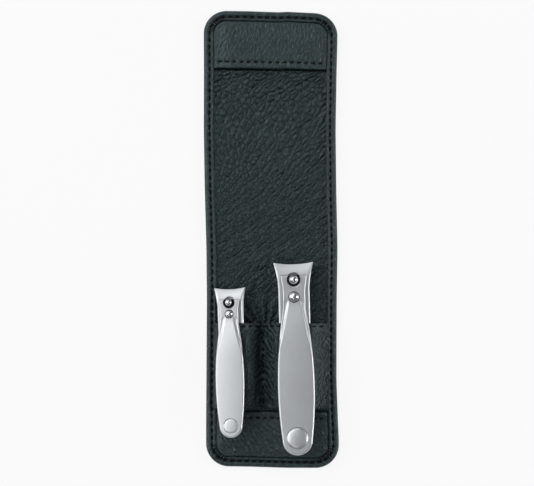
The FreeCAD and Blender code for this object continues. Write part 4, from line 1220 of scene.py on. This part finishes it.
class CASE_OT_stitching(bpy.types.Operator):
    """Sews the hem, the bands and the pocket front"""

    bl_idname = "case.stitching"
    bl_label = "Stitching"

    def execute(self, context):
        look = context.scene.case_look
        thread = twisted_thread("polyester_thread_twisted", (look.thread_low_and_shade, look.thread_high_and_shade))
        self.sew_edges(look, thread)
        row, mouth = look.band_row / MM, MOUTH_Y - look.mouth_row / MM
        side, pocket_side = CASE_X - HEM - 1.2, POCKET_X - 0.8
        top, foot = CLOSURE_BAND_Y + row, POCKET_BAND_Y - row
        for name, body, leather, start, end in (
            ("closure_band", "upper_half", "closure_band_leather", (-side, top), (side, top)),
            ("pocket_band", "lower_half", "pocket_band_leather", (-side, foot), (side, foot)),
            ("pocket_hem", "lower_half", "pocket_leather", (-pocket_side, mouth), (pocket_side, mouth)),
            ("pocket_divider", "lower_half", "pocket_leather",
             (SEAM_X, MOUTH_Y - 3), (SEAM_X, POCKET_BAND_Y + 2.5)),
        ):
            surface = surface_of(bpy.data.objects[leather])
            sewn = stitch_row(*straight_row(start, end, look.stitch_pitch / MM), look, surface)
            piece = make_piece(f"{name}_thread", *sewn, thread, "thread")
            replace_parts(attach(piece, body), f"{name}_stitching")
        return {"FINISHED"}

    def sew_edges(self, look, thread):
        """Sews the hem on both faces of the case, in two parts that meet in the spine."""
        inset = look.edge_row / MM
        places, count = stitch_places(inset, look.stitch_pitch / MM)
        line = rim_line(inset)
        middles = np.arange(count * 2) + 0.5
        first = np.argmin(np.abs(places))
        run = np.concatenate([places[first:], places[:first] + 2 * count])
        ring = np.concatenate([line[first:], line[:first]])
        at, past = [
            np.stack([np.interp(middles + step, run, ring[:, i], period=2 * count) for i in (0, 1)], -1)
            for step in (0, 0.1)
        ]
        laid, ahead = lie(at), lie(past)
        direction = (ahead - laid) / np.linalg.norm(ahead - laid, axis=1)[:, None]
        parts = []
        for side, wanted in (("lower", at[:, 1] < 0), ("upper", at[:, 1] > 0)):
            surface = surface_of(bpy.data.objects[f"cover_{side}"])
            rows = [
                stitch_row(laid[wanted], direction[wanted], look, surface, from_below)
                for from_below in (False, True)
            ]
            parts.append(make_piece(f"edge_thread_{side}", *join_rows(rows), thread, "thread"))
        fold_over(*parts, look.fold_reach / MM)
        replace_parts(parts[0], "edge_stitching_lower", "edge_stitching_spine")
        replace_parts(parts[1], "edge_stitching_upper")


def steels(look):
    """The finishes of the clippers' steel, made once: satin, polished, the dark steel of painted shade in
    holes, and buffed.
    """
    names = [f"stainless_steel_{finish}" for finish in ("satin", "polished", "punched", "buffed")]
    if names[0] not in bpy.data.materials:
        satin, bright = (look.satin_low, look.satin_high), (look.bright_low, look.bright_high)
        # Painted shade: the walls of holes and of the ring round the fulcrum get a much darker steel than the
        # ground faces, standing in for the shade that falls in them.
        hole_shade_colours = (linear("#1C2022"), linear("#363B3E"))
        worked_steel(names[0], satin, roughness=0.42, grit=(0.22, 14, 0.0012))
        worked_steel(names[1], bright, roughness=0.1, grit=(0.5, 2, 0.0004))
        worked_steel(names[2], hole_shade_colours, roughness=0.35, grit=(0.3, 0.3, 0.004))
        worked_steel(names[3], satin, roughness=0.42, grit=(2, 2, 0.0004))
    return [bpy.data.materials[name] for name in names]


def steel_piece(clipper, name, shape, finish, slot, cutters=()):
    """A piece of a clipper from points and faces, with its cuts made and its edges kept crisp."""
    points, faces = shape
    piece = make_piece(f"{clipper.name}_{name}", clipper.placed(points), faces, finish, slot)
    if cutters:
        cut_away(piece, [(clipper.placed(tool), sides, wall) for (tool, sides), wall in cutters])
    return sharpen(piece)


# How far a cutter stands out of the face that it cuts.
CUTTER_PAST = 2


class CASE_OT_levers(bpy.types.Operator):
    """Makes the levers of both clippers with their fulcrum rivets and tail discs"""

    bl_idname = "case.levers"
    bl_label = "Levers"

    def execute(self, context):
        look = context.scene.clipper_look
        satin, bright, punched, buffed = steels(look)
        for clipper in map(Clipper, CLIPPERS):
            body = f"{clipper.name}_lever_arm"
            ring, dish, hole, well = self.cutters(clipper)
            # Painted shade: the ring and the pin's hole get the dark steel.
            cutters = [(ring, punched), (dish, satin), (hole, punched), (well, satin)]
            shape = lever_shape(clipper, look.edge_rounding / MM)
            lever = steel_piece(clipper, "lever_steel", shape, satin, "satin_steel", cutters)
            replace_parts(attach(lever, body), f"{clipper.name}_lever")
            rocker = turned_shape(self.rocker_line(clipper))
            rivet = steel_piece(clipper, "fulcrum_ball", rocker, bright, "polished_steel")
            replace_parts(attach(rivet, body), f"{clipper.name}_fulcrum_rivet")
            button = self.on_tail(clipper, self.disc_line(clipper))
            disc = steel_piece(clipper, "tail_disc", button, buffed, "polished_steel")
            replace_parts(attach(disc, body), f"{clipper.name}_lever_disc")
        return {"FINISHED"}

    def cutters(self, clipper):
        """Shapes cut out of the lever: fulcrum's ring, dish and hole for the pin, well of the disc."""
        low, high, past = clipper.lever_under, clipper.lever_top, clipper.lever_top + CUTTER_PAST
        dome, deep = clipper.dome, high - 0.3
        ring = turned_shape([
            (0, deep), (dome + 0.05, deep), (dome + 0.22, high + 0.02), (dome + 0.22, high + 0.6),
            (0, high + 0.6),
        ])
        # The ground dish reaches further back than the countersunk hole in it.
        wide, deep = clipper.dish, high - 0.35
        points, faces = turned_shape([
            (0, deep), (0.8 * wide, deep), (wide - 0.12, high - 0.22), (wide, high + 0.02), (wide, past),
            (0, past),
        ])
        dish = points * (1.03, 1.2, 1) + (0, clipper.pin_reach - clipper.eye_back, 0), faces
        narrow = clipper.pin + PIN_PLAY
        hole = turned_shape([
            (0, low - 1), (narrow, low - 1), (narrow, high - 1.0), (clipper.hole - 0.15, high - 0.6),
            (clipper.hole, past), (0, past),
        ], clipper.pin_reach - 0.05)
        deep, near, wide = -clipper.disc_recess, clipper.disc + 0.12, clipper.disc + 0.35
        well = [(0, deep), (near, deep), (near, -0.1), (wide, 0.1), (wide, CUTTER_PAST), (0, CUTTER_PAST)]
        return ring, dish, hole, self.on_tail(clipper, well)

    def rocker_line(self, clipper):
        """Profile of the fulcrum rivet, from where it rocks on the jaw to its ball."""
        low, high = clipper.lever_under, clipper.lever_top - 0.05
        rocker = [
            (0, clipper.jaw_top + 0.08), (clipper.dome * 0.6, clipper.jaw_top + 0.35), (clipper.dome, low),
            (clipper.shank, low), (clipper.shank, high), (clipper.dome, high),
        ]
        return rocker + cap_line(clipper.dome, clipper.dome_high, clipper.lever_top)

    def disc_line(self, clipper):
        """Profile of the disc, from the bottom of its well to the middle of its domed face."""
        deep, rim = -clipper.disc_recess, clipper.disc_rim
        wall = [(0, deep), (clipper.disc - 0.05, deep), (clipper.disc, 0), (clipper.disc - 0.04, rim * 0.7)]
        reach = clipper.disc - 0.1
        radii = reach * np.sin(np.linspace(math.pi / 2, 0, 18))
        share = radii / reach
        bulge = 0.7 * (1 - share ** 2) + 0.3 * (1 - share ** 10)
        return wall + list(zip(radii, rim + (clipper.disc_dome - rim) * bulge))

    def on_tail(self, clipper, profile):
        """A turned shape set on the plateau at the lever's tail, square to its slope."""
        points, faces = turned_shape(profile)
        y = clipper.disc_inset - clipper.end
        run = -clipper.end_rise / (clipper.end - clipper.knee)
        top = clipper.lever_top + clipper.knee_rise + clipper.plateau - (y + clipper.knee) * -run
        along = np.array([0, 1, run]) / math.hypot(1, run)
        axes = np.stack([(1, 0, 0), along, np.cross((1, 0, 0), along)])
        return np.array([0, y, top]) + points @ axes, faces


class CASE_OT_jaws(bpy.types.Operator):
    """Makes the two leaves of both clippers, the rivet at their tail and the pin through their head"""

    bl_idname = "case.jaws"
    bl_label = "Jaws, rivets and pins"

    def execute(self, context):
        satin, bright, punched, _ = steels(context.scene.clipper_look)
        for clipper in map(Clipper, CLIPPERS):
            fixed, moving = f"{clipper.name}_clipper", f"{clipper.name}_lower_leaf"
            bore = [(0, 1), (clipper.bore, 1), (clipper.bore, 12), (0, 12)]
            # Painted shade: the bore for the pin gets the dark steel.
            cutters = [(turned_shape(bore, clipper.pin_reach + 0.2), punched)]
            shape = jaw_shape(clipper, True)
            upper = steel_piece(clipper, "upper_leaf_steel", shape, satin, "satin_steel", cutters)
            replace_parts(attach(upper, fixed), f"{clipper.name}_upper_jaw")
            lower = steel_piece(clipper, "lower_leaf_steel", jaw_shape(clipper, False), satin, "satin_steel")
            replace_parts(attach(lower, moving), f"{clipper.name}_lower_jaw")

            top = 2 * clipper.leaf
            shank = [(0, 0.2), (clipper.rivet, 0.2), (clipper.rivet, top), (clipper.rivet_head, top)]
            shank += cap_line(clipper.rivet_head, clipper.rivet_dome, top)
            shape = turned_shape(shank, clipper.rivet_inset - clipper.tail)
            rivet = steel_piece(clipper, "tail_rivet_steel", shape, satin, "satin_steel")
            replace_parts(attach(rivet, fixed), f"{clipper.name}_tail_rivet")

            middle = clipper.lever_top + 1.4 * PIN_PLAY
            turns = np.linspace(-math.acos(clipper.pin / clipper.ball), math.pi / 2, 17)
            foot, high = clipper.foot, clipper.foot_high
            pin = [(0, 0), (foot, 0), (foot, high), (clipper.pin, high)]
            pin += [(clipper.ball * math.cos(a), middle + clipper.ball * math.sin(a)) for a in turns]
            shape = turned_shape(pin, clipper.pin_reach)
            ball = steel_piece(clipper, "pin_ball", shape, bright, "polished_steel")
            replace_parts(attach(ball, moving), f"{clipper.name}_drive_pin")
        return {"FINISHED"}


# Half the floor's width and its height in millimetres, just under the case.
FLOOR_HALF = 3000
FLOOR_Z = -0.02
# Place of the camera and width of its sensor, in millimetres; how far it sees, in metres.
CAMERA_X = -1.5
CAMERA_Y = -1.52
SENSOR = 36
CAMERA_END = 20
# Each lamp: where it stands and its width, in metres, and the setting that holds its power.
LAMPS = (
    ("key_softbox", (-1.02, 0.25, 0.82), 1.4, "key_power"),
    ("fill_softbox", (1.0, 0.0, 0.52), 0.5, "fill_power"),
    ("head_softbox", (-0.3, 1.05, 0.85), 1.0, "head_power"),
    ("foot_softbox", (-0.25, -0.85, 1.2), 0.6, "foot_power"),
    ("top_diffuser", (-0.7, 0.7, 5.6), 3.0, "top_power"),
)


class CASE_OT_stage(bpy.types.Operator):
    """Sets the floor, the soft studio light and the camera straight above the case"""

    bl_idname = "case.stage"
    bl_label = "Stage"

    def execute(self, context):
        scene, look = context.scene, context.scene.stage_look
        scene.view_settings.view_transform = "Standard"
        paint = studio_floor("painted_board_floor", (look.floor_low, look.floor_high))
        corners = [(FLOOR_HALF * i, FLOOR_HALF * k, FLOOR_Z) for i, k in ((-1, -1), (1, -1), (1, 1), (-1, 1))]
        floor = make_piece("studio_floor", corners, [[0, 1, 2, 3]], paint)

        world = bpy.data.worlds.new("studio")
        scene.world = world
        world.use_nodes = True
        world.node_tree.nodes.clear()
        air = add_node(world.node_tree, "Background", {"Color": (*look.sky, 1), "Strength": 1})
        add_node(world.node_tree, "OutputWorld", {"Surface": air})

        for name, place, size, power in LAMPS:
            lamp = bpy.data.lights.new(name, "AREA")
            lamp.shape, lamp.size, lamp.energy = "SQUARE", size, getattr(look, power)
            softbox = bpy.data.objects.new(name, lamp)
            softbox.location = place
            softbox.rotation_mode = "QUATERNION"
            softbox.rotation_quaternion = (-Vector(place)).to_track_quat("-Z", "Y")
            scene.collection.objects.link(softbox)

        lens = bpy.data.cameras.new("camera")
        lens.sensor_width = SENSOR
        lens.lens = SENSOR * look.camera_height / look.view_width
        lens.clip_end = CAMERA_END
        camera = bpy.data.objects.new("camera", lens)
        camera.location = (CAMERA_X * MM, CAMERA_Y * MM, look.camera_height)
        scene.collection.objects.link(camera)
        scene.camera = camera
        return {"FINISHED"}


STEPS = (
    CASE_OT_cover, CASE_OT_lining, CASE_OT_bands, CASE_OT_pocket, CASE_OT_stitching, CASE_OT_levers,
    CASE_OT_jaws, CASE_OT_stage,
)
LOOKS = {"case_look": CaseLook, "clipper_look": ClipperLook, "stage_look": StageLook}


class CASE_PT_steps(bpy.types.Panel):
    """Sizes and colours of the case, and the steps that make it"""

    bl_idname = "CASE_PT_steps"
    bl_label = "Travel manicure case"
    bl_space_type = "VIEW_3D"
    bl_region_type = "UI"
    bl_category = "Case"

    def draw(self, context):
        for look in LOOKS:
            column = self.layout.column(align=True)
            settings = getattr(context.scene, look)
            for name in settings.__annotations__:
                column.prop(settings, name)
        for step in STEPS:
            self.layout.operator(step.bl_idname)


def register():
    """Adds the classes and the settings to Blender."""
    for kind in (*LOOKS.values(), *STEPS, CASE_PT_steps):
        bpy.utils.register_class(kind)
    for name, kind in LOOKS.items():
        setattr(bpy.types.Scene, name, bpy.props.PointerProperty(type=kind))


def unregister():
    """Takes the settings and the classes out of Blender."""
    for name in LOOKS:
        delattr(bpy.types.Scene, name)
    for kind in (CASE_PT_steps, *reversed(STEPS), *LOOKS.values()):
        bpy.utils.unregister_class(kind)


def main():
    """Makes every piece in order."""
    register()
    for step in STEPS:
        group, name = step.bl_idname.split(".")
        getattr(getattr(bpy.ops, group), name)()


if __name__ == "__main__":
    main()
